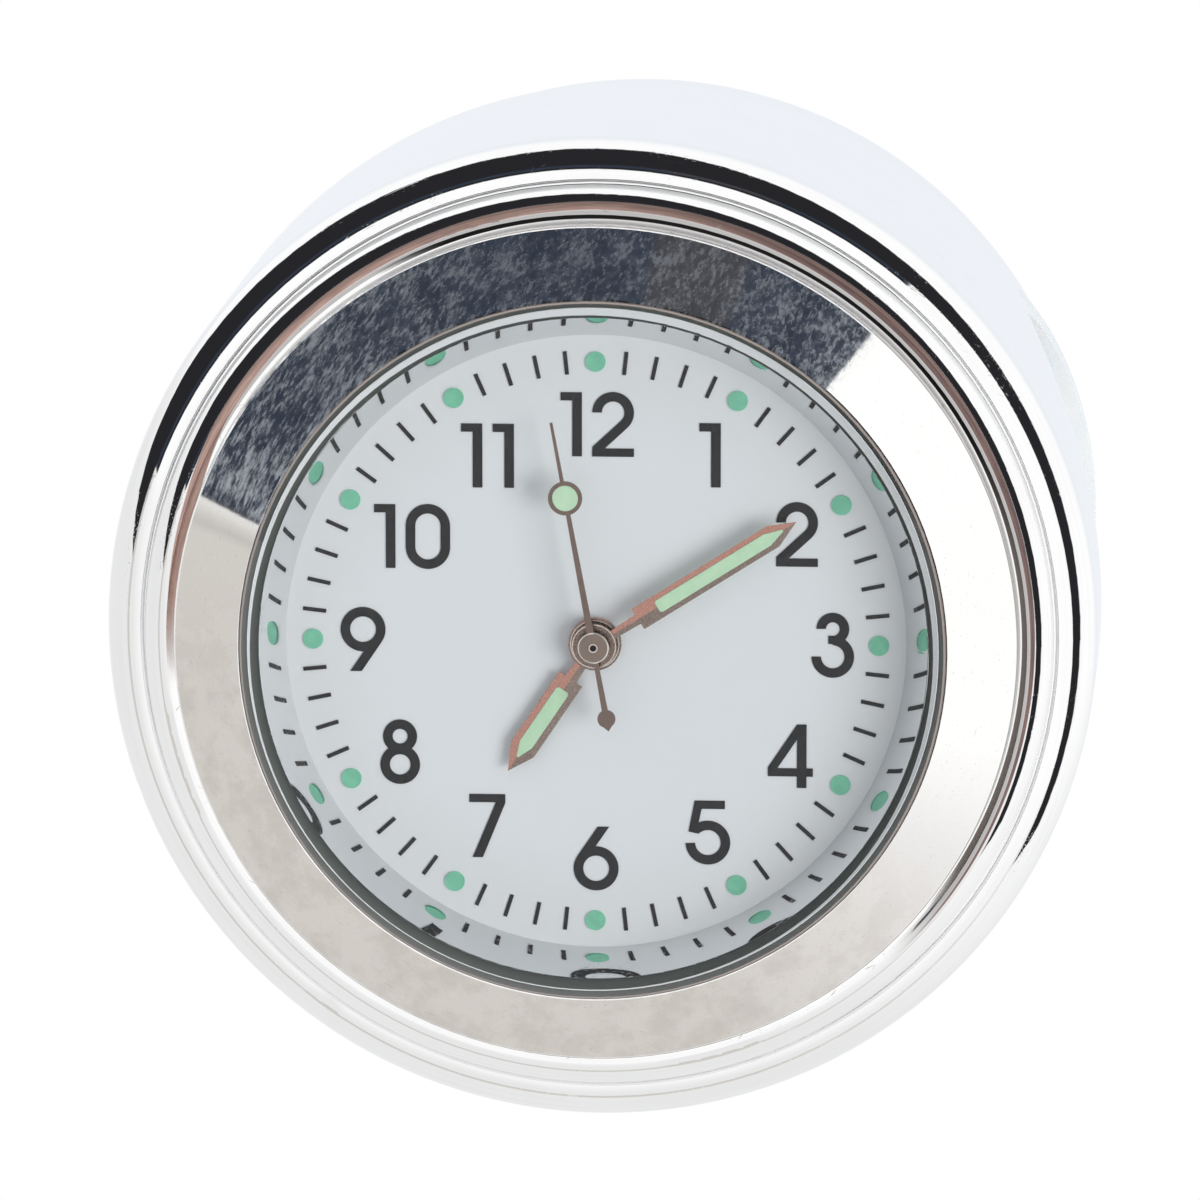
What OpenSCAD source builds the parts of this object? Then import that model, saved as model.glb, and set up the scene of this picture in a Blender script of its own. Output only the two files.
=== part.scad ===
// Handlebar clock: a quartz watch insert in a round metal housing that clamps on a handlebar.
// Millimetres. The origin is the centre of the bar bore: X runs along the bar, -Y is the way
// the face looks, +Z is up. The watch is drawn in its own plane: x right, y up, and every
// depth is measured backwards from the front of the crystal.

/* [Watch case] */
// Diameter of the crystal
crystal_d = 29.9; // [28:0.05:32]
// Thickness of the crystal
crystal_t = 1.6; // [1.2:0.05:1.8]
// Width and height of the crystal's bevel
crystal_bevel = 0.41; // [0.2:0.01:0.45]
// How far the crystal stands in front of the ring
crystal_proud = 0.49; // [0.42:0.01:0.6]
// Width of the bevelled front ring
ring_w = 3; // [2.8:0.05:3.4]
// How far the front ring slopes back from its inner to its outer edge
ring_drop = 1.68; // [1:0.02:1.8]
// Thickness of the front ring at its outer edge
rim_t = 1.13; // [0.8:0.01:1.3]
// Thickness of the case wall beside the crown
case_wall = 0.7; // [0.6:0.05:0.8]
// How far the rear collar stands out from the case wall
collar_step = 1; // [0.9:0.05:1.1]
// Thickness of the seal ring's cord
seal_cord = 1.5; // [1.2:0.05:1.6]
// Thickness of the case back
back_t = 0.9; // [0.6:0.05:1.1]

/* [Housing] */
// Gap between the front ring and the lip of the housing
lip_gap = 0.4; // [0.2:0.05:0.6]
// Width of the lip around the watch
lip_w = 1.1; // [0.9:0.05:1.3]
// Radius of the lip's rounding
lip_round = 1.5; // [1.3:0.05:1.6]
// Width of the shoulder outside the lip
shoulder_w = 1.8; // [1.6:0.05:2.4]
// Radius of the rounded shoulder
shoulder_r = 2.05; // [1.8:0.05:2.4]
// Thickness of metal left between the watch pocket and the bar
pocket_floor = 1.6; // [1:0.1:2.4]
// Space left behind the watch in its pocket
pocket_gap = 1.1; // [0.4:0.1:2]
// Small chamfer on open edges
edge_chamfer = 0.3; // [0.1:0.05:0.5]

/* [Clamp] */
// Diameter of the handlebar that the liner fits
bar_d = 22.2; // [20:0.1:24]
// Thickness of the liner between the bar and the metal
liner_t = 1.6; // [1:0.1:2]
// How far the liner's rounded ends lie inside the housing's radius
liner_inset = 0.85; // [0.2:0.05:1.2]
// Gap between the housing and the clamp cap
split_gap = 1.4; // [0.6:0.1:2]
// How much smaller the clamp cap's radius is than the housing's
cap_step = 1; // [0.6:0.05:1.4]
// Depth of the flats at the ends of the clamp cap
cap_flat = 0.6; // [0.3:0.1:1.2]
// Thickness of the clamp cap behind the bar
cap_wall = 3.6; // [2.5:0.1:5]
// Radius of the cap's rounded rear edge
cap_round = 8; // [6:0.25:9]
// Thread diameter of the clamp screws
screw_d = 3; // [2.5:0.1:3.2]
// How deep the screw heads are sunk in the cap
head_sunk = 4.3; // [3:0.1:5]

/* [Dial] */
// Width of the ledge under the crystal
cone_ledge = 0.68; // [0.5:0.02:0.8]
// Width of the mirror cone seen from the front
cone_w = 0.99; // [0.8:0.01:1.2]
// Height of the mirror cone
cone_h = 1.9; // [1.75:0.05:2.2]
// Thickness of the dial
dial_t = 0.4; // [0.3:0.02:0.45]
// Distance from the edge of the dial to the ring of hour dots
dot_inset = 1.16; // [1:0.02:1.3]
// Diameter of an hour dot
dot_d = 0.86; // [0.6:0.02:0.9]
// Length of a minute mark
tick_len = 1; // [0.7:0.05:1.1]
// Width of a minute mark
tick_w = 0.17; // [0.12:0.01:0.24]
// Height of a numeral
digit_h = 2.76; // [2.4:0.02:2.8]
// Stroke width of a numeral
digit_w = 0.41; // [0.3:0.01:0.45]
// Thickness of the printed marks
print_t = 0.04; // [0.03:0.01:0.06]

/* [Hands] */
// Length of the hour hand
hour_len = 6.7; // [6.2:0.05:7]
// Length of the minute hand
minute_len = 10.2; // [9.8:0.05:10.6]
// Length of the second hand
second_len = 9.86; // [9.4:0.02:10.4]
// Width of the hour hand
hour_w = 1.18; // [0.95:0.01:1.3]
// Width of the minute hand
minute_w = 1.02; // [0.9:0.01:1.2]
// Thickness of the hour and minute hands
hand_t = 0.15; // [0.1:0.01:0.18]
// Height of the ridge along the hour and minute hands
ridge = 0.08; // [0.03:0.01:0.08]
// Width of the second hand at its hub
second_w = 0.3; // [0.2:0.01:0.34]
// Clockwise angle of the hour hand
hour_angle = 213.9; // [0:0.1:360]
// Clockwise angle of the minute hand
minute_angle = 57.6; // [0:0.1:360]
// Clockwise angle of the second hand
second_angle = 349.5; // [0:0.1:360]

/* [Movement] */
// Width of the plastic ring around the movement
holder_w = 1.9; // [1.6:0.05:2]
// Diameter of the button cell
cell_d = 6.8; // [6.2:0.1:6.9]
// Thickness of the button cell
cell_t = 2.6; // [2:0.1:2.6]
// Travel of the crown when it is pulled
crown_travel = 0.7; // [0.4:0.05:0.7]

/* [Hidden] */
$fn = 96;

// Clearances
press = 0.01;
fit = 0.05;
seat = 0.02;
air = 0.1;
eps = 0.01;

// Watch case, as radii and as depths behind the front of the crystal
crystal_r = crystal_d / 2;
gasket_t = air;
crystal_seat_r = crystal_r + gasket_t;
bore_r = crystal_r - fit;
waist_r = bore_r + case_wall;
collar_r = waist_r + collar_step;
flange_r = crystal_seat_r + ring_w;
ring_front = crystal_proud;
ring_rim = ring_front + ring_drop;
flange_back = ring_rim + rim_t;
cone_top_r = crystal_r - cone_ledge;
dial_open_r = cone_top_r - cone_w;
ledge_t = 0.35;
dial_front = crystal_t + cone_h;
dial_back = dial_front + dial_t;
dot_ring_r = dial_open_r - dot_inset;

// Levels of the movement
plate_front = dial_back;
recess_deep = 1.3;
plate_t = 2.1;
web_front = plate_front + recess_deep;
plate_back = plate_front + plate_t;
hour_gear = plate_front + 0.2;
motion_gear = plate_front + 0.86;
centre_gear = plate_back + 0.15;
third_gear = plate_back + 0.75;
fourth_gear = plate_back + 1.25;
inter_gear = plate_back + 1.7;
bridge_front = plate_back + 2.2;
bridge_t = 0.4;
bridge_back = bridge_front + bridge_t;
gear_t = 0.25;
leaf_t = 0.4;
holder_back = bridge_back + 0.5;
back_ledge = holder_back + air;
back_gasket_t = 0.4;
back_front = back_ledge + back_gasket_t;
case_rear = back_front + back_t + air;
back_seat_r = waist_r - case_wall / 2 + fit + gasket_t / 2;
groove_w = seal_cord + air;
groove_depth = case_rear - groove_w - case_wall;
collar_front = groove_depth - 0.35;

// Housing, as radii and depths
lip_r = flange_r + lip_gap;
groove_r = lip_r + lip_w;
body_r = groove_r + shoulder_w;
bead_depth = flange_back + 1;
shoulder_front = bead_depth + 0.15;
pocket_r = (collar_r + flange_r) / 2 + 0.15;
seal_r = pocket_r - seat - seal_cord / 2;
saddle_r = bar_d / 2 + liner_t;
bar_r = bar_d / 2;
pocket_deep = case_rear + pocket_gap;
face_to_bar = pocket_deep + pocket_floor + saddle_r;
half_gap = split_gap / 2;
split_depth = face_to_bar - half_gap;

// Clamp, as distances from the bar's axis
cap_r = body_r - cap_step;
cap_w = 2 * (cap_r - cap_flat);
cap_back = saddle_r + cap_wall;
screw_r = screw_d / 2;
head_r = screw_d * 0.875;
head_h = screw_d;
socket_af = screw_d * 0.75;
socket_deep = screw_d * 0.55;
screw_offset = (saddle_r + cap_r) / 2;
screw_seat = cap_back - head_sunk - head_h;
tap_spare = 1.7;
screw_len = screw_seat + saddle_r - tap_spare;

// The movement is laid out on a plate 26 wide and follows the size of its plate
plate_r = bore_r - holder_w;
k = plate_r / 13;
third_dist = 3.9 * k;
inter_dist = 4.2 * k;
rotor_dist = 3 * k;
minute_dist = 3 * k;

// Tooth counts of the train
fourth_teeth = 60;
fourth_leaves = 8;
third_teeth = 60;
third_leaves = 8;
centre_teeth = 64;
inter_teeth = 50;
inter_leaves = 10;
rotor_leaves = 10;
cannon_leaves = 12;
minute_teeth = 36;
minute_leaves = 12;
hour_teeth = 48;
setting_teeth = 20;

// Tooth sizes follow from the distances between the axes
seconds_module = 2 * third_dist / (fourth_leaves + third_teeth);
centre_module = 2 * third_dist / (third_leaves + centre_teeth);
drive_module = 2 * inter_dist / (fourth_teeth + inter_leaves);
rotor_module = 2 * rotor_dist / (inter_teeth + rotor_leaves);
cannon_module = 2 * minute_dist / (cannon_leaves + minute_teeth);
hour_module = 2 * minute_dist / (minute_leaves + hour_teeth);

// Places of the axes in the plane of the dial
third_dir = 100;
inter_dir = 230;
rotor_dir = 200;
third_at = polar(third_dist, third_dir);
inter_at = polar(inter_dist, inter_dir);
rotor_at = inter_at + polar(rotor_dist, rotor_dir);
minute_at = [minute_dist, 0];
setting_at = minute_at + [cannon_module * (minute_teeth + setting_teeth) / 2, 0];

// Arbors and tubes
arbor_r = 0.15 * k;
second_arbor_r = 0.2 * k;
cannon_bore_r = second_arbor_r + 0.07;
cannon_r = 0.5 * k;
pipe_bore_r = cannon_r + fit;
pipe_r = 0.88 * k;
post_r = 0.22 * k;

// Dial feet
dial_feet = [35, 215];
dial_foot_r = 0.35 * k;
dial_foot_len = 0.9;
foot_ring_r = 11.6 * k;

// Levels of the hands, front faces
second_level = crystal_t + 0.4;
minute_level = second_level + 0.45;
hour_level = minute_level + 0.5;
second_hand_t = 0.1;
lume_sink = 0.03;

// Crown and setting parts along +X
stem_depth = plate_back + 0.5;
stem_r = 0.4;
tube_r = 0.7;
tube_bore_r = stem_r + air;
crown_in = waist_r + 0.15;
crown_out = crown_in + 0.85;
crown_r = min(1.3, collar_front - air - stem_depth);
crown_cup_r = tube_r + 0.3;
crown_cup = 0.55;
tube_out = crown_in + 0.4;
stem_in = setting_at[0] + 0.4 * k;
clutch_in = stem_in + 0.7;
clutch_t = 0.9;
clutch_teeth = 18;
clutch_module = 0.14;
clutch_hub_r = 0.75;
clutch_groove_x = clutch_in + 0.35;
clutch_groove_w = 0.25;
clutch_r = clutch_module * (clutch_teeth / 2 + 0.8);
lever_x = clutch_in + clutch_t + 1.3 * k;
lever_pivot_y = -3;
stem_groove_w = 0.4;
yoke_front = stem_depth + clutch_r + 0.08;
yoke_t = 0.15;
yoke_travel = crown_travel / 2;
yoke_pins = [[clutch_groove_x, -2.6], [clutch_groove_x, -4.4]];
block_in = lever_x + crown_travel + 0.75 * k;
block_w = plate_r - block_in - air;

// Places of the other movement parts
well_t = 0.4;
well_r = cell_d / 2 + air + well_t;
cell_r = cell_d / 2;
cell_y = clutch_r + well_r + 0.2;
cell_at = [sqrt(pow(plate_r - well_r - 0.25, 2) - pow(cell_y, 2)), cell_y];
cell_front = plate_back + air;
cell_back = cell_front + cell_t;
pillar_r = 0.6 * k;
pillars = [k * [-6.2, 4.2], k * [3.2, -4.4], k * [-8, -1.2]];
clip_pillar = k * [4.6, 1];
screw_hole_r = 0.3 * k;
screw_head_r = 0.7 * k;
screw_head_t = 0.35;
thread_deep = 1;
bridge_at = k * [-1.6, 0];
bridge_r = 7.4 * k;
coil_y = -9.5 * k;
coil_left = -6.6 * k;
coil_right = 1.4 * k;
coil_r = 0.95;
core_eye_r = 0.7 * k;
core_ends = [[coil_left - k, coil_y], [coil_right + k, coil_y]];
core_w = 0.6;
stator_front = plate_back + 0.45;
stator_t = 0.4;
core_front = stator_front + stator_t + seat;
core_t = 0.4;
coil_depth = core_front + core_t / 2;
stator_hole_r = 1.15 * k;
magnet_r = 0.95 * k;
board_front = bridge_front;
board_t = 0.4;
can_r = 0.75;
board_posts = [k * [-10.6, 5.4], k * [-10.9, -4.2]];
clip_t = 0.18;
clip_front = max(bridge_back, cell_back) + seat;

// Numerals: their grid, strokes, widths, and the centre of each against the ring of dots
grid = digit_h / 100;
stem_w = digit_w / grid;
bar_w = 0.87 * stem_w;
glyph_gap = 16;
glyph_widths = [69, 33, 64.5, 66, 70, 69.5, 70, 56, 62, 70];
numeral_at = dot_ring_r * [
  [0.403, 0.672], [0.71, 0.393], [0.837, 0], [0.689, -0.399], [0.398, -0.677], [0.002, -0.776],
  [-0.384, -0.664], [-0.693, -0.402], [-0.823, 0], [-0.648, 0.371], [-0.381, 0.662], [0.006, 0.777]
];

// Point at a distance and an angle
function polar(r, a) = [r * cos(a), r * sin(a)];

// Puts the plane of the dial in front of the bar, facing -Y
module watch() {
  translate([0, -face_to_bar, 0]) rotate([90, 0, 0]) children();
}

// Round solid between two depths
module disc(r, front, back, at = [0, 0]) {
  translate([at[0], at[1], -back]) cylinder(r = r, h = back - front);
}

// Flat outline between two depths
module plate(front, back) {
  translate([0, 0, -back]) linear_extrude(back - front) children();
}

// Solid of revolution about the watch's axis, from points of radius and depth
module turned(points) {
  rotate_extrude() polygon([for (p = points) [p[0], -p[1]]]);
}

// Ring between two radii and two depths
module band(r_out, r_in, front, back, at = [0, 0]) {
  difference() {
    disc(r_out, front, back, at);
    disc(r_in, front - eps, back + eps, at);
  }
}

// Round bar along X in the plane of the dial, at one depth
module rod_x(r, from, to, depth, y = 0) {
  translate([from, y, -depth]) rotate([0, 90, 0]) cylinder(r = r, h = to - from);
}

// Straight flat arm with round ends
module arm(a, b, w) {
  d = b - a;
  translate(a) rotate(atan2(d[1], d[0])) translate([0, -w / 2]) square([norm(d), w]);
  translate(a) circle(d = w);
  translate(b) circle(d = w);
}

// Outline of one toothed wheel or pinion
module teeth(n, m, width, tip, phase) {
  pitch_r = n * m / 2;
  root_r = pitch_r - 1.35 * m;
  tip_r = pitch_r + tip * m;
  half = width * 180 / n;
  polygon([
    for (tooth = [0 : n - 1])
      let (c = phase + tooth * 360 / n)
        each [
          polar(root_r, c - half), polar(pitch_r, c - half), polar(tip_r, c - 0.35 * half),
          polar(tip_r, c + 0.35 * half), polar(pitch_r, c + half), polar(root_r, c + half)
        ]
  ]);
}

// Wheel with crossings, and a pinion
module wheel(n, m, phase, front, at, hub_r, spokes = 4) {
  rim_r = n * m / 2 - 2.2 * m;
  translate([at[0], at[1], 0]) difference() {
    plate(front, front + gear_t) teeth(n, m, 0.45, 1, phase);
    if (rim_r - hub_r > 1) for (spoke = [0 : spokes - 1])
      plate(front - eps, front + gear_t + eps) rotate(45 + spoke * 360 / spokes)
        crossing(rim_r, hub_r);
  }
}

// Opening between two spokes
module crossing(rim_r, hub_r) {
  spoke_w = 0.28;
  intersection() {
    difference() {
      circle(r = rim_r);
      circle(r = hub_r);
    }
    translate([spoke_w / 2, spoke_w / 2]) square(rim_r);
  }
}

module pinion(n, m, phase, front, back, at) {
  translate([at[0], at[1], 0]) plate(front, back) teeth(n, m, 0.4, 0.7, phase);
}

// Housing: shoulder, lip, watch pocket, saddle and tapped holes
module housing() {
  color("gainsboro") difference() {
    watch() rotate_extrude() difference() {
      union() {
        translate([0, -split_depth + edge_chamfer])
          square([body_r, split_depth - edge_chamfer - shoulder_front - shoulder_r]);
        polygon([
          [0, -split_depth], [body_r - edge_chamfer, -split_depth],
          [body_r, -split_depth + edge_chamfer], [0, -split_depth + edge_chamfer]
        ]);
        translate([0, -shoulder_front - shoulder_r]) square([body_r - shoulder_r, shoulder_r]);
        translate([body_r - shoulder_r, -shoulder_front - shoulder_r]) circle(r = shoulder_r);
        translate([groove_r - lip_round, -bead_depth]) circle(r = lip_round);
        translate([lip_r - lip_gap, -bead_depth - lip_round])
          square([groove_r - lip_r + lip_gap, lip_round]);
      }
      translate([groove_r + 0.06, -shoulder_front]) circle(r = shoulder_front - bead_depth);
      translate([-eps, -flange_back - seat]) square([lip_r, flange_back + eps]);
      translate([-eps, -pocket_deep]) square([pocket_r, pocket_deep]);
    }
    rotate([0, 90, 0]) cylinder(r = saddle_r, h = 3 * body_r, center = true);
    for (side = [-1, 1])
      translate([0, -saddle_r, side * screw_offset]) rotate([-90, 0, 0])
        cylinder(r = screw_r + fit, h = saddle_r);
  }
}

// Clamp cap behind the bar
module clamp_cap() {
  color("gainsboro") difference() {
    intersection() {
      rotate([-90, 0, 0]) rotate_extrude() union() {
        translate([0, half_gap]) square([cap_r, cap_back - cap_round - half_gap]);
        translate([0, cap_back - cap_round]) square([cap_r - cap_round, cap_round]);
        translate([cap_r - cap_round, cap_back - cap_round]) circle(r = cap_round);
      }
      translate([-cap_w / 2, 0, -body_r]) cube([cap_w, cap_back + 1, 2 * body_r]);
    }
    rotate([0, 90, 0]) cylinder(r = saddle_r, h = 3 * body_r, center = true);
    for (side = [-1, 1]) translate([0, 0, side * screw_offset]) rotate([-90, 0, 0]) {
      cylinder(r = screw_r + 0.2, h = cap_back + 1);
      translate([0, 0, screw_seat]) cylinder(r = head_r + 0.3, h = cap_back);
    }
  }
}

// One half of the liner between the bar and the metal; its ends follow the round housing
module liner_half(side) {
  difference() {
    intersection() {
      rotate([0, 90, 0]) cylinder(r = saddle_r - seat, h = 3 * body_r, center = true);
      rotate([90, 0, 0]) cylinder(r = body_r - liner_inset, h = 3 * body_r, center = true);
      translate([-2 * body_r, side > 0 ? half_gap : -half_gap - body_r, -body_r])
        cube([4 * body_r, body_r, 2 * body_r]);
    }
    rotate([0, 90, 0]) cylinder(r = bar_r, h = 4 * body_r, center = true);
  }
}

module liner_front() {
  color("whitesmoke") liner_half(-1);
}

module liner_rear() {
  color("whitesmoke") liner_half(1);
}

// Socket head screw of the clamp
module clamp_screw(side) {
  chamfer = 0.35;
  color("silver") translate([0, screw_seat, side * screw_offset]) rotate([-90, 0, 0]) difference() {
    union() {
      translate([0, 0, -screw_len + chamfer]) cylinder(r = screw_r, h = screw_len - chamfer);
      translate([0, 0, -screw_len]) cylinder(r1 = screw_r - chamfer, r2 = screw_r, h = chamfer);
      translate([0, 0, seat]) cylinder(r = head_r, h = head_h - chamfer);
      translate([0, 0, head_h - chamfer + seat])
        cylinder(r1 = head_r, r2 = head_r - chamfer, h = chamfer);
      cylinder(r = screw_r, h = 1);
    }
    translate([0, 0, head_h - socket_deep + seat])
      cylinder(d = socket_af / cos(30), h = socket_deep + 1, $fn = 6);
  }
}

module clamp_screw_upper() {
  clamp_screw(1);
}

module clamp_screw_lower() {
  clamp_screw(-1);
}

// Case with the bevelled front ring, the waist for the crown and the collar for the seal ring
module watch_case() {
  soft = 0.08;
  color("silver") watch() difference() {
    turned([
      [crystal_seat_r, ring_front + soft], [crystal_seat_r + soft, ring_front + soft / 2],
      [flange_r - soft, ring_rim - soft / 2], [flange_r, ring_rim + soft],
      [flange_r, flange_back], [waist_r, flange_back], [waist_r, collar_front],
      [collar_r, collar_front], [collar_r, groove_depth],
      [seal_r - seal_cord / 2 - seat, groove_depth],
      [seal_r - seal_cord / 2 - seat, groove_depth + groove_w],
      [collar_r, groove_depth + groove_w], [collar_r, case_rear - edge_chamfer],
      [collar_r - edge_chamfer, case_rear], [back_seat_r, case_rear], [back_seat_r, back_ledge],
      [bore_r, back_ledge], [bore_r, crystal_t + ledge_t], [cone_top_r + fit, crystal_t + ledge_t],
      [cone_top_r + fit, crystal_t], [crystal_seat_r, crystal_t]
    ]);
    rod_x(tube_r + press, 0, waist_r + 1, stem_depth);
  }
}

module crystal() {
  color("lightcyan", 0.35) watch() turned([
    [0, 0], [crystal_r - crystal_bevel, 0], [crystal_r, crystal_bevel],
    [crystal_r, crystal_t], [0, crystal_t]
  ]);
}

module crystal_gasket() {
  color("dimgray") watch()
    band(crystal_seat_r - press, crystal_r + press, ring_front + 0.05, crystal_t);
}

// Mirror-bright cone between the dial and the crystal
module rehaut_ring() {
  shelf = crystal_t + ledge_t + fit;
  color("silver") watch() turned([
    [cone_top_r, crystal_t + seat], [cone_top_r + fit - seat, crystal_t + seat],
    [cone_top_r + fit - seat, shelf], [bore_r - fit, shelf],
    [bore_r - fit, dial_front], [dial_open_r, dial_front]
  ]);
}

module dial() {
  color("aliceblue") watch() {
    band(bore_r - air, pipe_r + 0.17, dial_front, dial_back);
    for (a = dial_feet)
      disc(dial_foot_r, dial_back - eps, dial_back + dial_foot_len, polar(foot_ring_r, a));
  }
}

// Numerals stand on a grid 100 units high, lower left corner at the origin
module hook(r, at, from, to) {
  steps = ceil((to - from) / 30);
  translate(at) intersection() {
    difference() {
      circle(r = r);
      circle(r = r - stem_w);
    }
    polygon(concat([[0, 0]], [for (step = [0 : steps]) polar(2 * r, from + (to - from) * step / steps)]));
  }
}

// Closed bowl of a numeral
module bowl(r, at) {
  translate(at) difference() {
    circle(r = r);
    circle(r = r - stem_w);
  }
}

// Straight leg that leaves a bowl along its tangent
module leg(r, at, angle, len) {
  translate(at) rotate(angle - 90) translate([0, r - stem_w]) square([len, stem_w]);
}

// Upright oval of the nought
module oval(r, high) {
  translate([0, high / 2 - r]) circle(r = r);
  translate([0, r - high / 2]) circle(r = r);
  translate([-r, r - high / 2]) square([2 * r, high - 2 * r]);
}

module nought(w) {
  translate([w / 2, 50]) difference() {
    oval(w / 2, 102);
    oval(w / 2 - stem_w, 102 - 2 * stem_w);
  }
}

module one(w) {
  translate([w - stem_w, 0]) square([stem_w, 100]);
  translate([0, 100 - bar_w]) square([w, bar_w]);
}

module two(w) {
  r = w / 2;
  intersection() {
    union() {
      hook(r, [r, 101 - r], -47, 180);
      leg(r, [r, 101 - r], -47, 100);
      square([w, bar_w]);
    }
    square([w, 101]);
  }
}

module three(w) {
  r = w / 2;
  top_r = 25.4;
  hook(top_r, [r, 101 - top_r], -68, 180);
  hook(r, [r, r - 1], -180, 90);
  translate([r - 7, 2 * r - 1 - bar_w]) square([8, bar_w]);
}

module four(w) {
  stem_x = w - stem_w - 10;
  bar_y = 18;
  difference() {
    polygon([[0, bar_y], [0, 32], [stem_x, 100], [stem_x + stem_w, 100], [stem_x + stem_w, bar_y]]);
    polygon([[15, bar_y + bar_w], [stem_x, 76], [stem_x, bar_y + bar_w]]);
  }
  translate([stem_x, 0]) square([stem_w, 50]);
  translate([0, bar_y]) square([w, bar_w]);
}

module five(w) {
  r = w / 2;
  hook(r, [r, r - 1], -178, 138);
  polygon([[14, 100], [4.5, 51], [17.5, 48], [20, 64], [25, 100 - bar_w], [61, 100 - bar_w], [61, 100]]);
}

module six(w) {
  r = w / 2;
  bowl(r, [r, r - 1]);
  intersection() {
    leg(r, [r, r - 1], 146, 100);
    square(100);
  }
}

module seven(w) {
  polygon([
    [0, 100], [w, 100], [w, 100 - bar_w - 1], [21, 0], [5, 0],
    [w - stem_w, 100 - bar_w], [0, 100 - bar_w]
  ]);
}

module eight(w) {
  top_r = 26.5;
  bowl(top_r, [w / 2, 101 - top_r]);
  bowl(w / 2, [w / 2, w / 2 - 1]);
}

module glyph(n) {
  w = glyph_widths[n];
  if (n == 0) nought(w);
  if (n == 1) one(w);
  if (n == 2) two(w);
  if (n == 3) three(w);
  if (n == 4) four(w);
  if (n == 5) five(w);
  if (n == 6) six(w);
  if (n == 7) seven(w);
  if (n == 8) eight(w);
  if (n == 9) translate([w, 100]) rotate(180) six(w);
}

// Hour numeral of one or two glyphs, centred
module numeral(hour) {
  units = hour % 10;
  tens = floor(hour / 10);
  wide = glyph_widths[units] + tens * (glyph_widths[1] + glyph_gap);
  scale(grid) translate([-wide / 2, -50]) {
    if (tens > 0) one(glyph_widths[1]);
    translate([wide - glyph_widths[units], 0]) glyph(units);
  }
}

// Minute marks and numerals, printed on the dial
module dial_print() {
  color("dimgray") watch() plate(dial_front - print_t, dial_front) {
    for (minute = [0 : 59]) if (minute % 5 != 0)
      rotate(-6 * minute) translate([-tick_w / 2, dot_ring_r - tick_len / 2]) square([tick_w, tick_len]);
    for (hour = [1 : 12]) translate(numeral_at[hour - 1]) numeral(hour);
  }
}

module dial_dots() {
  color("mediumaquamarine") watch() for (hour = [0 : 11])
    disc(dot_d / 2, dial_front - 2 * print_t, dial_front, polar(dot_ring_r, 90 - 30 * hour));
}

module case_back() {
  color("lightgray") watch() difference() {
    disc(back_seat_r - fit, back_front, back_front + back_t);
    for (notch = [0 : 5])
      disc(0.6, back_front + back_t - 0.3, back_front + back_t + 1, polar(bore_r - 2, 60 * notch));
  }
}

module back_gasket() {
  color("black") watch()
    band(back_seat_r - fit, bore_r + fit, back_ledge + seat, back_front - seat);
}

// Rubber ring that holds the watch in the housing
module seal_ring() {
  color("black") watch() translate([0, 0, -groove_depth - groove_w / 2])
    rotate_extrude() translate([seal_r, 0]) circle(d = seal_cord, $fn = 48);
}

// Outline of a pointed baton hand, pointing up, and of its lume slot
function baton(w, len, neck_w, neck, shoulder) = [
  [-neck_w / 3, 0], [-neck_w / 2, neck], [-w / 2, neck], [-w / 2, shoulder],
  [0, len], [w / 2, shoulder], [w / 2, neck], [neck_w / 2, neck], [neck_w / 3, 0]
];

function slot(w, from, shoulder, to) = [
  [slot_corner - w / 2, from], [-w / 2, from + slot_corner], [-w / 2, shoulder],
  [-slot_blunt, to], [slot_blunt, to],
  [w / 2, shoulder], [w / 2, from + slot_corner], [w / 2 - slot_corner, from]
];

// Blade whose front slopes back from a ridge in its middle to its four long edges
module blade(outline, w, level) {
  difference() {
    plate(level, level + hand_t) polygon(outline);
    for (i = [2 : 5]) facet(outline[i + 1], outline[i], atan(2 * ridge / w), level + ridge + eps);
  }
}

// All that lies in front of a plane that rises to the left of an edge
module facet(from, to, slope, level) {
  reach = 2;
  run = to - from;
  translate([from.x, from.y, -level]) rotate(atan2(run.y, run.x)) rotate([slope, 0, 0])
    translate([-reach, -reach, 0]) cube([norm(run) + 2 * reach, 2 * reach, reach]);
}

slot_corner = 0.1;
slot_blunt = 0.05;

hour_neck = 1.85;
hour_shoulder = hour_len - 1.12;
hour_slot = slot(0.62, 2.4, hour_shoulder - 0.28, hour_len - 0.75);
minute_neck = 2.23;
minute_shoulder = minute_len - 1.16;
minute_slot = slot(0.58, 3.2, minute_shoulder - 0.3, minute_len - 0.67);
lume_disc_at = second_len - 3.3;

module hour_hand() {
  color("rosybrown") watch() rotate(-hour_angle) difference() {
    union() {
      blade(baton(hour_w, hour_len, 0.58, hour_neck, hour_shoulder), hour_w, hour_level);
      disc(1.07, hour_level, hour_level + hand_t);
      disc(pipe_r + 0.25, hour_level, hour_level + 0.32);
    }
    disc(pipe_r + press, hour_level - 1, hour_level + 1);
    plate(hour_level - 1, hour_level + 1) polygon(hour_slot);
  }
}

module minute_hand() {
  color("rosybrown") watch() rotate(-minute_angle) difference() {
    union() {
      blade(baton(minute_w, minute_len, 0.46, minute_neck, minute_shoulder), minute_w, minute_level);
      disc(0.96, minute_level, minute_level + hand_t);
      disc(cannon_r + 0.3, minute_level, minute_level + 0.3);
    }
    disc(cannon_r + press, minute_level - 1, minute_level + 1);
    plate(minute_level - 1, minute_level + 1) polygon(minute_slot);
  }
}

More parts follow.
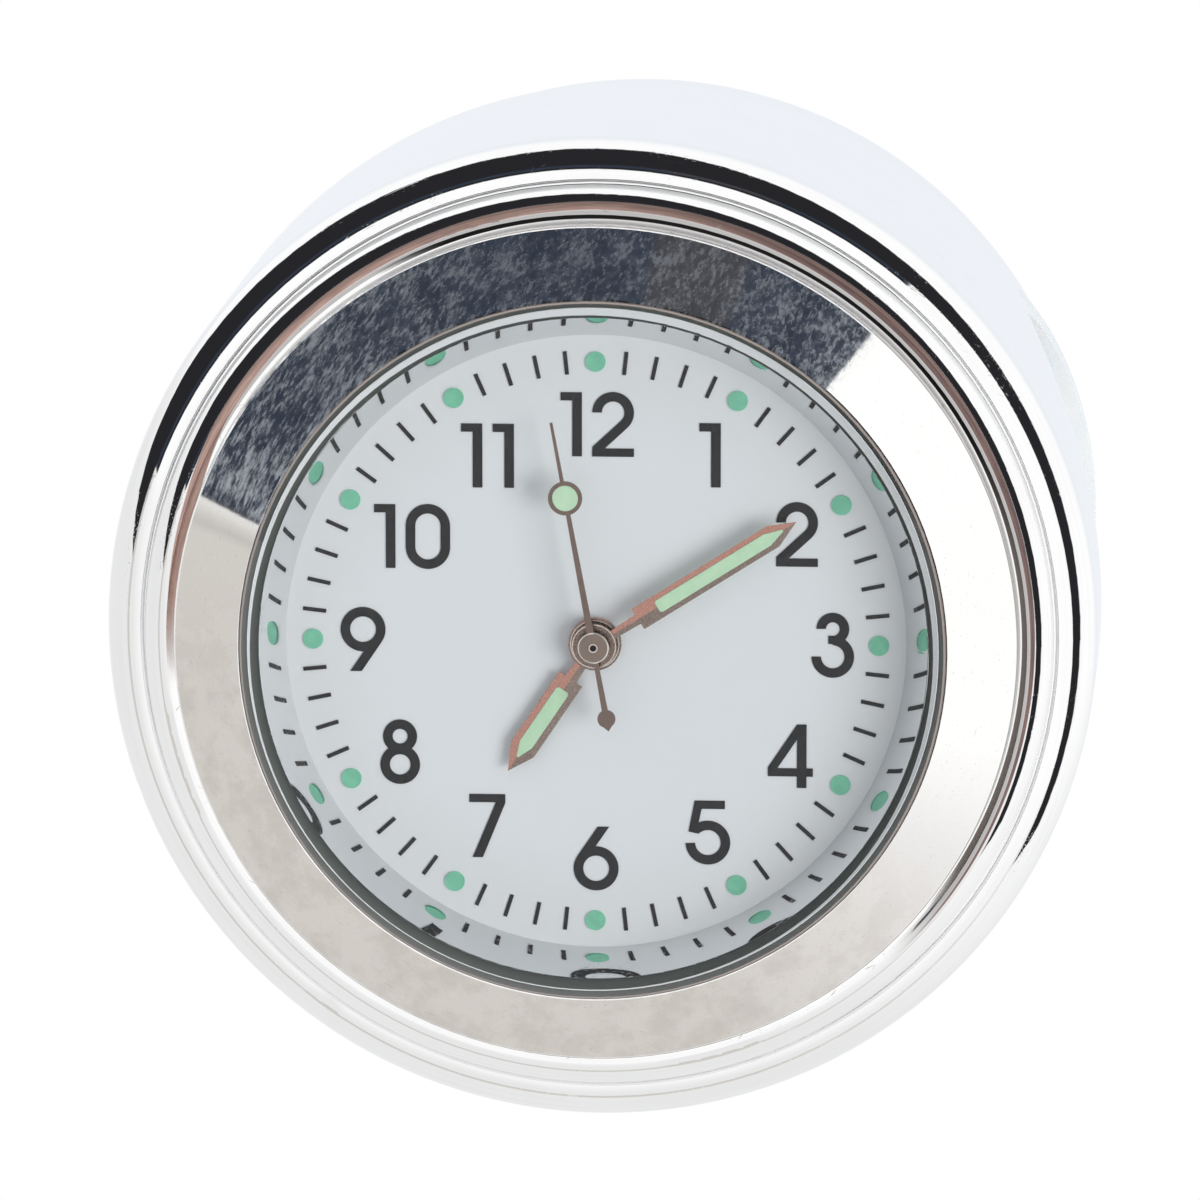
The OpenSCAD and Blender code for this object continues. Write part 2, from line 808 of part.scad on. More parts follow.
// Thin hand with a pierced hub, a lume disc and a drop counterweight
module second_hand() {
  tail = 3.11;
  tail_w = 0.9 * second_w;
  hub_r = 0.68;
  hub_edge = 0.07;
  hole_r = 0.13;
  color("rosybrown") watch() rotate(-second_angle) difference() {
    union() {
      plate(second_level, second_level + second_hand_t) {
        polygon([
          [-second_w / 2, 0], [-second_w / 5, second_len], [second_w / 5, second_len], [second_w / 2, 0]
        ]);
        polygon([
          [-tail_w / 3, 0], [-tail_w / 2, -tail], [0, -tail - 0.5], [tail_w / 2, -tail], [tail_w / 3, 0]
        ]);
        polygon([[-0.3, -tail - 0.2], [0, -tail - 0.55], [0.3, -tail - 0.2]]);
        translate([0, -tail]) circle(r = 0.385);
        translate([0, lume_disc_at]) circle(r = 0.73);
      }
      turned([
        [0, second_level - hub_edge / 2], [hole_r + hub_edge, second_level - hub_edge / 2],
        [hole_r + hub_edge, second_level], [hub_r - hub_edge, second_level],
        [hub_r, second_level + hub_edge], [hub_r, second_level + second_hand_t],
        [0, second_level + second_hand_t]
      ]);
      disc(0.4, second_level, second_level + 0.36);
    }
    disc(hole_r, second_level - 1, second_level + 1);
    disc(second_arbor_r + press, second_level + second_hand_t, second_level + 1);
    disc(0.555, second_level - 1, second_level + 1, [0, lume_disc_at]);
  }
}

module hour_lume() {
  color("palegreen") watch() rotate(-hour_angle)
    plate(hour_level + lume_sink, hour_level + hand_t) offset(delta = -press) polygon(hour_slot);
}

module minute_lume() {
  color("palegreen") watch() rotate(-minute_angle)
    plate(minute_level + lume_sink, minute_level + hand_t) offset(delta = -press) polygon(minute_slot);
}

module second_lume() {
  color("palegreen") watch() rotate(-second_angle)
    disc(0.555 - press, second_level + lume_sink / 2, second_level + second_hand_t, [0, lume_disc_at]);
}

// Plastic ring that centres the movement in the case
module movement_holder() {
  color("white") watch() difference() {
    band(bore_r - fit, plate_r + fit, plate_front, holder_back);
    rod_x(stem_r + 0.2, 0, bore_r + 1, stem_depth);
  }
}

// Base of the movement: motion-work recess, wheel posts, pillars, battery well and stem block
module main_plate() {
  pivot_deep = 0.5;
  block_high = 1.4;
  block_long = 2.6;
  slot_w = 2 * clutch_r + 0.4;
  slot_deep = plate_back - stem_depth + clutch_r + 0.1;
  color("goldenrod") watch() difference() {
    union() {
      difference() {
        disc(plate_r, plate_front, plate_back);
        disc(hour_teeth * hour_module / 2 + 0.35, plate_front - eps, web_front);
        disc(minute_teeth * cannon_module / 2 + 0.35, plate_front - eps, web_front, minute_at);
        disc(setting_teeth * cannon_module / 2 + 0.3, plate_front - eps, web_front, setting_at);
      }
      disc(post_r, hour_gear - 0.1, web_front + eps, minute_at);
      disc(post_r, motion_gear - 0.1, web_front + eps, setting_at);
      for (p = concat(pillars, [clip_pillar])) disc(pillar_r, plate_back - eps, bridge_front - seat, p);
      band(well_r, cell_r + air, plate_back - eps, cell_front + 1.9, cell_at);
      translate([block_in, -block_long / 2, -plate_back - block_high])
        cube([block_w, block_long, block_high + eps]);
      disc(screw_hole_r, plate_back - eps, stem_depth + stem_r + 0.55, [lever_x, lever_pivot_y]);
      for (p = yoke_pins) disc(post_r, plate_back - eps, yoke_front + yoke_t + 0.1, p);
      for (p = core_ends) disc(core_eye_r, plate_back - eps, stator_front - seat, p);
      for (p = board_posts) disc(pillar_r, plate_back - eps, board_front - seat, p);
    }
    disc(cannon_r + fit, web_front - eps, plate_back + eps);
    for (p = [third_at, inter_at, rotor_at])
      disc(arbor_r + fit, plate_back - pivot_deep, plate_back + eps, p);
    for (p = concat(pillars, [clip_pillar], board_posts))
      disc(screw_hole_r + fit, bridge_front - thread_deep - fit, bridge_front, p);
    for (p = core_ends) disc(screw_hole_r + fit, stator_front - thread_deep - fit, stator_front, p);
    for (a = dial_feet) disc(dial_foot_r + fit, plate_front - eps, dial_back + dial_foot_len + fit,
      polar(foot_ring_r, a));
    rod_x(stem_r + fit, block_in - 1, block_in + block_w + 1, stem_depth);
    translate([clutch_in - yoke_travel - 0.2, -slot_w / 2, -plate_back - eps])
      cube([clutch_t + yoke_travel + 0.4, slot_w, slot_deep + eps]);
  }
}

module train_bridge() {
  color("goldenrod") watch() difference() {
    disc(bridge_r, bridge_front, bridge_back, bridge_at);
    disc(cell_r + 0.7, bridge_front - eps, bridge_back + eps, cell_at);
    for (p = [third_at, inter_at, rotor_at])
      disc(arbor_r + fit, bridge_front - eps, bridge_back + eps, p);
    disc(second_arbor_r + fit, bridge_front - eps, bridge_back + eps);
    for (p = concat(pillars, [clip_pillar]))
      disc(screw_hole_r + fit, bridge_front - eps, bridge_back + eps, p);
  }
}

// Slotted screw with its head on one level and its tip in front of another
module small_screw(at, under_head, tip) {
  head_back = under_head + screw_head_t;
  difference() {
    union() {
      disc(screw_hole_r, tip, head_back, at);
      disc(screw_head_r, under_head + seat, head_back, at);
    }
    translate([at[0] - 1, at[1] - 0.1, -head_back - eps]) cube([2, 0.2, 0.15]);
  }
}

module bridge_screws() {
  color("silver") watch() for (p = pillars) small_screw(p, bridge_back, bridge_front - thread_deep);
}

module clip_screw() {
  color("silver") watch() small_screw(clip_pillar, clip_front + clip_t, bridge_front - thread_deep);
}

module coil_screws() {
  color("silver") watch() for (p = core_ends)
    small_screw(p, core_front + core_t, stator_front - thread_deep);
}

module board_screws() {
  color("silver") watch() for (p = board_posts)
    small_screw(p, board_front + board_t, board_front - thread_deep);
}

module dial_washer() {
  color("gold") watch() band(2.1 * k, pipe_r + 0.12, plate_front + 0.03, plate_front + 0.13);
}

module hour_wheel() {
  color("gold") watch() difference() {
    union() {
      wheel(hour_teeth, hour_module, 0, hour_gear, [0, 0], pipe_r);
      disc(pipe_r, hour_level - 0.05, hour_gear + gear_t);
    }
    disc(pipe_bore_r, hour_level - 1, hour_gear + 1);
  }
}

module minute_wheel() {
  color("gold") watch() difference() {
    union() {
      wheel(minute_teeth, cannon_module, 180 / minute_teeth, motion_gear, minute_at, 1);
      pinion(minute_leaves, hour_module, 180 / minute_leaves, hour_gear, motion_gear + eps, minute_at);
    }
    disc(post_r + fit, plate_front, web_front, minute_at);
  }
}

// Tube that carries the minute hand, with the pinion of the motion work
module cannon_pinion() {
  color("silver") watch() difference() {
    union() {
      disc(cannon_r, minute_level - 0.05, centre_gear + gear_t + 0.05);
      pinion(cannon_leaves, cannon_module, 0, motion_gear - 0.06, motion_gear + 0.34, [0, 0]);
    }
    disc(cannon_bore_r, minute_level - 1, centre_gear + 1);
  }
}

module centre_wheel() {
  color("gold") watch() difference() {
    wheel(centre_teeth, centre_module, third_dir, centre_gear, [0, 0], 1);
    disc(cannon_r + press, centre_gear - 1, centre_gear + 1);
  }
}

module third_wheel() {
  color("gold") watch() {
    wheel(third_teeth, seconds_module, third_dir + 180 + 180 / third_teeth, third_gear, third_at, 0.7);
    pinion(third_leaves, centre_module, third_dir + 180 + 180 / third_leaves,
      centre_gear - 0.05, centre_gear + leaf_t - 0.05, third_at);
    disc(arbor_r, plate_back - 0.45, bridge_back - 0.1, third_at);
    disc(0.25, centre_gear + 0.3, third_gear + eps, third_at);
  }
}

// Wheel that carries the second hand through the cannon pinion
module fourth_wheel() {
  color("gold") watch() {
    wheel(fourth_teeth, drive_module, inter_dir, fourth_gear, [0, 0], 0.8);
    pinion(fourth_leaves, seconds_module, third_dir, third_gear - 0.08, fourth_gear + eps, [0, 0]);
    disc(second_arbor_r, second_level + second_hand_t + seat, bridge_back - 0.1);
  }
}

module intermediate_wheel() {
  color("gold") watch() {
    wheel(inter_teeth, rotor_module, rotor_dir, inter_gear, inter_at, 0.7);
    pinion(inter_leaves, drive_module, inter_dir + 180 + 180 / inter_leaves,
      fourth_gear - 0.06, inter_gear + eps, inter_at);
    disc(arbor_r, plate_back - 0.45, bridge_back - 0.1, inter_at);
  }
}

// Stepping motor
module rotor() {
  color("dimgray") watch() {
    disc(magnet_r, stator_front - 0.1, stator_front + stator_t + 0.15, rotor_at);
    pinion(rotor_leaves, rotor_module, rotor_dir + 180 + 180 / rotor_leaves,
      inter_gear - 0.06, inter_gear + leaf_t - 0.05, rotor_at);
    disc(arbor_r, plate_back - 0.45, bridge_back - 0.1, rotor_at);
  }
}

module stator() {
  w = 1.2 * k;
  shoe_r = 2 * k;
  knee = rotor_at + k * [1, -2];
  elbow = [core_ends[1][0], -6.6 * k];
  color("slategray") watch() plate(stator_front, stator_front + stator_t) difference() {
    union() {
      translate(rotor_at) circle(r = shoe_r);
      arm(rotor_at, core_ends[0], w);
      arm(rotor_at, knee, w);
      arm(knee, elbow, w);
      arm(elbow, core_ends[1], w);
      for (p = core_ends) translate(p) circle(r = core_eye_r);
    }
    translate(rotor_at) circle(r = stator_hole_r);
    for (p = core_ends) translate(p) circle(r = screw_hole_r + fit);
  }
}

module coil_core() {
  color("slategray") watch() plate(core_front, core_front + core_t) difference() {
    union() {
      arm(core_ends[0], core_ends[1], core_w);
      for (p = core_ends) translate(p) circle(r = core_eye_r);
    }
    for (p = core_ends) translate(p) circle(r = screw_hole_r + fit);
  }
}

module coil_winding() {
  flange = 0.3;
  color("peru") watch() difference() {
    union() {
      rod_x(coil_r, coil_left, coil_left + flange, coil_depth, coil_y);
      rod_x(coil_r - 0.08, coil_left, coil_right, coil_depth, coil_y);
      rod_x(coil_r, coil_right - flange, coil_right, coil_depth, coil_y);
    }
    translate([coil_left - 1, coil_y - core_w / 2 - seat, -core_front - core_t - seat])
      cube([coil_right - coil_left + 2, core_w + 2 * seat, core_t + 2 * seat]);
  }
}

module circuit_board() {
  color("seagreen") watch() plate(board_front, board_front + board_t) intersection() {
    difference() {
      circle(r = plate_r - 0.2);
      translate(bridge_at) circle(r = bridge_r + 0.25);
      for (p = board_posts) translate(p) circle(r = screw_hole_r + fit);
    }
    polygon(k * [[0, -4], [-9, 12], [-16, 12], [-16, -16], [3, -16], [3, -4]]);
  }
}

module quartz_can() {
  color("silver") watch() translate([-10.4 * k, -2.2 * k, seat + can_r - board_front])
    rotate([-90, 0, 0]) cylinder(r = can_r, h = 5.4 * k);
}

module timing_chip() {
  color("black") watch() disc(1.1, board_front + board_t, board_front + board_t + 0.4, k * [-9.6, -6.2]);
}

module battery() {
  color("lightgray") watch() {
    disc(cell_r - 0.35, cell_front, cell_front + 0.25, cell_at);
    disc(cell_r, cell_front + 0.25, cell_back, cell_at);
  }
}

module battery_clip() {
  color("silver") watch() difference() {
    plate(clip_front, clip_front + clip_t) arm(cell_at, clip_pillar, 1.5 * k);
    disc(screw_hole_r + fit, clip_front - 1, clip_front + 1, clip_pillar);
  }
}

// Crown: knurled cap with a cup that slides over the tube
module crown() {
  color("silver") watch() difference() {
    translate([crown_in, 0, -stem_depth]) rotate([0, 90, 0])
      linear_extrude(crown_out - crown_in) teeth(30, 2 * crown_r / 30, 0.55, 0, 0);
    rod_x(crown_cup_r, crown_in - 1, crown_in + crown_cup, stem_depth);
    rod_x(stem_r + press, crown_in - 1, crown_out - 0.1, stem_depth);
  }
}

module crown_tube() {
  color("lightgray") watch() difference() {
    rod_x(tube_r, bore_r, tube_out, stem_depth);
    rod_x(tube_bore_r, bore_r - 1, tube_out + 1, stem_depth);
  }
}

module crown_gasket() {
  color("black") watch() difference() {
    rod_x(crown_cup_r - 0.04, crown_in + 0.15, crown_in + 0.4, stem_depth);
    rod_x(tube_r + 0.04, crown_in, crown_in + 1, stem_depth);
  }
}

module stem() {
  color("silver") watch() difference() {
    rod_x(stem_r, stem_in, crown_out - 0.12, stem_depth);
    difference() {
      rod_x(stem_r + 1, lever_x - stem_groove_w / 2, lever_x + stem_groove_w / 2, stem_depth);
      rod_x(0.15, lever_x - 1, lever_x + 1, stem_depth);
    }
  }
}

// Toothed sleeve on the square of the stem, with a groove for the yoke
module clutch_wheel() {
  color("gold") watch() difference() {
    union() {
      for (span = [[clutch_in, clutch_groove_x], [clutch_groove_x + clutch_groove_w, clutch_in + clutch_t]])
        translate([span[0], 0, -stem_depth]) rotate([0, 90, 0])
          linear_extrude(span[1] - span[0]) teeth(clutch_teeth, clutch_module, 0.45, 0.8, 0);
      rod_x(clutch_hub_r, clutch_in + eps, clutch_in + clutch_t - eps, stem_depth);
    }
    rod_x(stem_r + fit, clutch_in - 1, clutch_in + clutch_t + 1, stem_depth);
  }
}

// Sliding fork that moves the clutch wheel along the stem
module yoke() {
  mid = clutch_groove_x + clutch_groove_w / 2;
  finger_t = clutch_groove_w - 2 * 0.04;
  fork_front = stem_depth - 0.3;
  color("silver") watch() {
    plate(yoke_front, yoke_front + yoke_t) difference() {
      translate([clutch_groove_x - 0.55, -5.1]) square([1.1 + yoke_travel, 4.3]);
      for (p = yoke_pins) arm(p, p + [yoke_travel, 0], 2 * (post_r + fit));
    }
    difference() {
      translate([mid - finger_t / 2, -clutch_r - 0.35, -yoke_front - eps])
        cube([finger_t, clutch_r - 0.45, yoke_front - fork_front + eps]);
      rod_x(clutch_hub_r + 0.04, mid - 1, mid + 1, stem_depth);
    }
  }
}

// Lever that a pin ties to the groove of the stem
module setting_lever() {
  lever_front = stem_depth + stem_r + 0.12;
  color("silver") watch() {
    difference() {
      plate(lever_front, lever_front + 0.2) arm([lever_x, lever_pivot_y], [lever_x, 0], 0.9);
      disc(screw_hole_r + fit, lever_front - 1, lever_front + 1, [lever_x, lever_pivot_y]);
    }
    disc(0.12, stem_depth + 0.2, lever_front + eps, [lever_x, 0]);
  }
}

module setting_wheel() {
  color("gold") watch() difference() {
    wheel(setting_teeth, cannon_module, 180, motion_gear, setting_at, 1);
    disc(post_r + fit, plate_front, web_front, setting_at);
  }
}

housing();
clamp_cap();
liner_front();
liner_rear();
clamp_screw_upper();
clamp_screw_lower();
watch_case();
crystal();
crystal_gasket();
rehaut_ring();
dial();
dial_print();
dial_dots();
case_back();
back_gasket();
seal_ring();
hour_hand();
hour_lume();
minute_hand();
minute_lume();
second_hand();
second_lume();
movement_holder();
main_plate();
train_bridge();
bridge_screws();
dial_washer();
hour_wheel();
minute_wheel();
cannon_pinion();
centre_wheel();
third_wheel();
fourth_wheel();
intermediate_wheel();
rotor();
stator();
coil_core();
coil_winding();
coil_screws();
circuit_board();
board_screws();
quartz_can();
timing_chip();
battery();
battery_clip();
clip_screw();
crown();
crown_tube();
crown_gasket();
stem();
clutch_wheel();
yoke();
setting_lever();
setting_wheel();
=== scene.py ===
"""Looks of the handlebar clock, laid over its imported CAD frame. Lengths are in metres."""

import math

import bpy
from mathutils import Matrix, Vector


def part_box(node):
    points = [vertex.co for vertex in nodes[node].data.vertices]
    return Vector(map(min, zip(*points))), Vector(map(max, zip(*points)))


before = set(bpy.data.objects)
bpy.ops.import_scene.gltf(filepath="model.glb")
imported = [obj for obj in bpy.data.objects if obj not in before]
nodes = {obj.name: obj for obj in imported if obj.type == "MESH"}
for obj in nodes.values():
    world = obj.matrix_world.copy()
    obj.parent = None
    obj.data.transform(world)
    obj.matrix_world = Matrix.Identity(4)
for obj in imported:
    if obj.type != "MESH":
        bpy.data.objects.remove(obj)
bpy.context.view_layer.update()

MM = 0.001
MICRON = 0.000001
FULL_TURN = 360.0
HALF_TURN = 180.0
FACE_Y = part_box("crystal")[0].y


class Surface:
    """A material built up node by node."""

    def __init__(self, name):
        self.material = bpy.data.materials.new(name)
        self.material.use_nodes = True
        self.tree = self.material.node_tree
        self.tree.nodes.clear()
        self.output = self.tree.nodes.new("ShaderNodeOutputMaterial")

    def node(self, kind, **settings):
        """A new node with its settings."""
        made = self.tree.nodes.new(kind)
        for key, value in settings.items():
            setattr(made, key, value)
        return made

    def feed(self, socket, value):
        """Links a socket to another one, or sets it to a plain value."""
        if isinstance(value, bpy.types.NodeSocket):
            self.tree.links.new(value, socket)
        elif value is not None:
            socket.default_value = value

    def math(self, operation, a, b=None, clamp=False):
        """Result of one operation on one or two values."""
        made = self.node("ShaderNodeMath", operation=operation, use_clamp=clamp)
        for socket, value in zip(made.inputs, (a, b)):
            self.feed(socket, value)
        return made.outputs[0]

    def place(self):
        """Place in the frame, in metres."""
        return self.node("ShaderNodeTexCoord").outputs["Object"]

    def split(self, vector):
        """The three parts of a vector."""
        made = self.node("ShaderNodeSeparateXYZ")
        self.feed(made.inputs[0], vector)
        return made.outputs

    def join(self, x, y, z):
        """A vector from its three parts."""
        made = self.node("ShaderNodeCombineXYZ")
        for socket, value in zip(made.inputs, (x, y, z)):
            self.feed(socket, value)
        return made.outputs[0]

    def turned(self, vector, angles, scale=(1, 1, 1)):
        """Coordinates along turned axes, scaled along them."""
        made = self.node("ShaderNodeMapping", vector_type="TEXTURE")
        self.feed(made.inputs["Vector"], vector)
        made.inputs["Rotation"].default_value = [math.radians(a) for a in angles]
        made.inputs["Scale"].default_value = [1 / s for s in scale]
        return made.outputs[0]

    def noise(self, vector, size, detail=4.0, roughness=0.55):
        """Noise whose blobs are about size metres across, from 0 to 1."""
        made = self.node("ShaderNodeTexNoise")
        self.feed(made.inputs["Vector"], vector)
        made.inputs["Scale"].default_value = 1 / size
        made.inputs["Detail"].default_value = detail
        made.inputs["Roughness"].default_value = roughness
        return made.outputs[0]

    def ramp(self, factor, *stops):
        """Grey or colour by a factor; each stop is (place, value or colour)."""
        made = self.node("ShaderNodeValToRGB")
        elements = made.color_ramp.elements
        while len(elements) < len(stops):
            elements.new(0.5)
        for element, (place, value) in zip(elements, stops):
            element.position = place
            element.color = (*value, 1) if isinstance(value, tuple) else (value, value, value, 1)
        self.feed(made.inputs[0], factor)
        return made.outputs[0]

    def blend(self, factor, a, b):
        """Colour between a and b."""
        made = self.node("ShaderNodeMix", data_type="RGBA")
        self.feed(made.inputs[0], factor)
        for socket, value in ((made.inputs[6], a), (made.inputs[7], b)):
            self.feed(socket, (*value, 1) if isinstance(value, tuple) else value)
        return made.outputs[2]

    def step(self, value, start, end):
        """0 below start and 1 above end, or the other way round where start is larger."""
        made = self.node("ShaderNodeMapRange", interpolation_type="SMOOTHSTEP", clamp=True)
        self.feed(made.inputs[0], value)
        low, high, first, last = (start, end, 0, 1) if start < end else (end, start, 1, 0)
        for socket, number in zip(made.inputs[1:5], (low, high, first, last)):
            socket.default_value = number
        return made.outputs[0]

    def between(self, value, low, high, soft):
        """1 from low to high and 0 outside them, with soft ends."""
        inner = self.step(value, low - soft, low + soft)
        outer = self.step(value, high + soft, high - soft)
        return self.math("MULTIPLY", inner, outer)

    def scratches(self, vector, angle, spacing, stretch, low, high):
        """Fine straight marks in the plane of the face, drawn out along one direction."""
        flat = self.turned(vector, (0, angle, 0), (1 / stretch, 1, 1))
        return self.step(self.noise(flat, spacing, 2.0, 0.5), low, high)

    def bump(self, height, depth, normal=None):
        """Relief depth metres deep."""
        made = self.node("ShaderNodeBump")
        made.inputs["Strength"].default_value = 1.0
        made.inputs["Distance"].default_value = depth
        self.feed(made.inputs["Height"], height)
        self.feed(made.inputs["Normal"], normal)
        return made.outputs[0]

    def shader(self, **inputs):
        """Principled shader, with each input named as its socket."""
        made = self.node("ShaderNodeBsdfPrincipled")
        for name, value in inputs.items():
            if isinstance(value, tuple):
                value = (*value, 1)
            self.feed(made.inputs[name.replace("_", " ")], value)
        return made.outputs[0]

    def mixed(self, factor, a, b):
        """Shader between a and b."""
        made = self.node("ShaderNodeMixShader")
        for socket, value in zip(made.inputs, (factor, a, b)):
            self.feed(socket, value)
        return made.outputs[0]

    def finish(self, shader):
        """The material, with its surface set."""
        self.feed(self.output.inputs["Surface"], shader)
        return self.material


def clock_polar(surface, vector):
    """Radius from the clock's axis in mm, angle about it in degrees from 3 o'clock, and depth in mm."""
    x, y, z = surface.split(vector)
    across = surface.math("MULTIPLY", x, x)
    up = surface.math("MULTIPLY", z, z)
    radius = surface.math("MULTIPLY", surface.math("SQRT", surface.math("ADD", across, up)), 1 / MM)
    angle = surface.math("DEGREES", surface.math("ARCTAN2", z, x))
    depth = surface.math("MULTIPLY", surface.math("SUBTRACT", y, FACE_Y), 1 / MM)
    return radius, angle, depth


def round_stops(start, stops):
    """Ramp stops from (degrees, value), on a ramp that goes once round from start degrees before 0."""
    return [((degrees + start) / FULL_TURN, value) for degrees, value in stops]


def polished_metal(name, colour, roughness, haze, wear_and_painted_light=None):
    """Bright metal with a faint ripple, scattered hairlines and dull spots."""
    s = Surface(name)
    p = s.place()
    marks = s.scratches(p, 31, 0.00009, 30, 0.66, 0.72)
    for angle in (-24, 78, 127):
        more = s.scratches(p, angle, 0.00011, 24, 0.67, 0.74)
        marks = s.math("MAXIMUM", marks, more)
    patches = s.step(s.noise(p, 0.004, 3), 0.42, 0.66)
    marks = s.math("MULTIPLY", marks, patches)
    ripple = s.noise(p, 0.0035, 2)
    rough = s.math("ADD", s.math("MULTIPLY", s.noise(p, 0.0012, 4), roughness), roughness * 0.6)
    rough = s.math("ADD", rough, s.math("MULTIPLY", marks, haze), clamp=True)
    tone = s.blend(s.noise(p, 0.0025, 5), tuple(c * 0.96 for c in colour), colour)
    metal = 1.0
    # the housing's wear, painted shade and painted highlights go on here
    if wear_and_painted_light:
        tone, rough, metal = wear_and_painted_light(s, p, tone, rough)
    normal = s.bump(ripple, 1.5 * MICRON)
    normal = s.bump(marks, 1.2 * MICRON, normal)
    shader = s.shader(Base_Color=tone, Roughness=rough, Metallic=metal, Normal=normal)
    return s.finish(shader)


# Wear, painted shade and painted highlights of the housing, in mm, and in degrees anticlockwise from
# LIP_SEAM degrees before 3 o'clock
LIP_START = 18.0
LIP_SEAM = 110.0
LIP_SPAN = (68.0, 291.0)
LIP_DEPTH = (4.6, 4.2)
GAP_SPAN = (76.0, 226.0)
GAP_RADII = (18.2, 18.48)
GAP_DEPTH = (2.88, 2.93)
GROOVE_RADII = (19.44, 20.08)
POCKET_DEPTH = (3.05, 3.2)
POCKET_RADIUS = (18.15, 18.1)
COPPER_FADE = 0.03
# painted shade and painted highlight of the copper band on the lip
COPPER_PAINTED_SHADE = (0.16, 0.112, 0.107)
COPPER_PAINTED_HIGHLIGHT = (0.66, 0.45, 0.385)
COPPER_STREAK = (0.34, 0.2, 0.175)
LIP_EDGE = (0.24, 0.225, 0.22)
# painted shade in the gap beside the watch
GAP_SHADE_BROWN = (0.55, 0.48, 0.44)
GAP_SHADE_BLACK = (0.012, 0.01, 0.01)
# grey of the painted shade deep in the pocket
POCKET_SHADE_GREY = (0.62, 0.62, 0.61)

# Edges of the copper band in mm beyond LIP_START, by degrees anticlockwise from 3 o'clock
COPPER_OUTER = ((-34, 0.7), (0, 0.76), (45, 0.93), (90, 0.97), (135, 0.82), (150, 0.78), (162, 0.58),
                (175, 0.44))
COPPER_INNER = ((-34, 0.6), (0, 0.56), (45, 0.56), (90, 0.64), (135, 0.47), (150, 0.38), (160, 0.1),
                (175, 0.1))


def copper_band_and_painted_light(s, p, tone, radius, beyond, turned, depth):
    """Copper band on the rubbed lip, partly bared copper undercoat and partly painted reflection, with
    painted shade at the right and a painted highlight at the left.
    """
    around = s.math("DIVIDE", turned, FULL_TURN)
    outer = s.ramp(around, *round_stops(LIP_SEAM, COPPER_OUTER))
    inner = s.ramp(around, *round_stops(LIP_SEAM, COPPER_INNER))
    past_inner = s.math("SUBTRACT", beyond, inner)
    front = s.step(depth, *LIP_DEPTH)
    patchy = s.step(s.noise(p, 0.0012, 4), 0.16, 0.36)
    worn = s.math("MULTIPLY", s.between(turned, *LIP_SPAN, 7.0), front)
    band = s.math("MULTIPLY", s.step(past_inner, -COPPER_FADE, COPPER_FADE),
                  s.step(s.math("SUBTRACT", outer, beyond), -COPPER_FADE, COPPER_FADE))
    copper = s.math("MULTIPLY", band, s.math("MULTIPLY", worn, patchy))
    # painted highlight from the top round to the left, and along the band's outer part at the upper
    # right; painted shade on the rest
    edge = s.math("MULTIPLY", s.step(past_inner, 0.2, 0.25), s.step(turned, 120.0, 150.0))
    highlight_mix = s.math("MAXIMUM", s.step(turned, 165.0, 205.0), s.math("MULTIPLY", edge, 0.5))
    bare = s.blend(highlight_mix, COPPER_PAINTED_SHADE, COPPER_PAINTED_HIGHLIGHT)
    streaks = s.noise(s.join(radius, s.math("MULTIPLY", turned, 0.01), 0.0), 0.07, 3, 0.6)
    bare = s.blend(s.math("MULTIPLY", s.step(streaks, 0.4, 0.6), 0.5), bare, COPPER_STREAK)
    rim = s.math("MULTIPLY", s.step(past_inner, 0.02, -0.04), s.step(beyond, 0.26, 0.32))
    tone = s.blend(s.math("MULTIPLY", s.math("MULTIPLY", rim, worn), 0.65), tone, LIP_EDGE)
    tone = s.blend(copper, tone, bare)
    return tone, copper, worn


def gap_painted_shade(s, tone, rough, radius, turned, depth):
    """Painted shade in the gap beside the watch, brown at the right and black over the top."""
    deep = s.math("MULTIPLY", s.step(depth, *GAP_DEPTH), s.between(radius, *GAP_RADII, 0.015))
    gap = s.math("MULTIPLY", deep, s.between(turned, *GAP_SPAN, 6.0))
    # painted shade: brown at the right, black over the top
    gap_shade = s.blend(s.step(turned, 118.0, 140.0), GAP_SHADE_BROWN, GAP_SHADE_BLACK)
    tone = s.blend(gap, tone, gap_shade)
    rough = s.math("ADD", rough, s.math("MULTIPLY", gap, 0.7), clamp=True)
    return tone, rough, gap


def groove_polish(s, rough, radius, worn):
    """Dried polish left in the groove of the worn part."""
    polish = s.math("MULTIPLY", s.between(radius, *GROOVE_RADII, 0.04), s.math("MULTIPLY", worn, 0.7))
    rough = s.math("ADD", rough, s.math("MULTIPLY", polish, 0.6), clamp=True)
    return rough, polish


def pocket_dull_and_shaded(s, tone, rough, radius, depth):
    """Duller plating inside the pocket for the watch, greyed by painted shade."""
    pocket = s.math("MULTIPLY", s.step(depth, *POCKET_DEPTH), s.step(radius, *POCKET_RADIUS))
    # painted shade greying the pocket
    tone = s.blend(s.math("MULTIPLY", pocket, 0.7), tone, POCKET_SHADE_GREY)
    rough = s.math("ADD", rough, s.math("MULTIPLY", pocket, 0.34), clamp=True)
    return tone, rough


def housing_wear_and_painted_light(s, p, tone, rough):
    """Colour, roughness and metalness of the housing, with all its wear and its painted shade and
    highlights.
    """
    radius, angle, depth = clock_polar(s, p)
    beyond = s.math("SUBTRACT", radius, LIP_START)
    turned = s.math("MODULO", s.math("ADD", angle, FULL_TURN + LIP_SEAM), FULL_TURN)
    tone, copper, worn = copper_band_and_painted_light(s, p, tone, radius, beyond, turned, depth)
    rough = s.math("ADD", rough, s.math("MULTIPLY", copper, 0.34))
    tone, rough, gap = gap_painted_shade(s, tone, rough, radius, turned, depth)
    rough, polish = groove_polish(s, rough, radius, worn)
    metal = s.math("SUBTRACT", 1.0, s.math("MAXIMUM", gap, s.math("MULTIPLY", copper, 0.35)))
    metal = s.math("SUBTRACT", metal, polish, clamp=True)
    tone, rough = pocket_dull_and_shaded(s, tone, rough, radius, depth)
    return tone, rough, metal


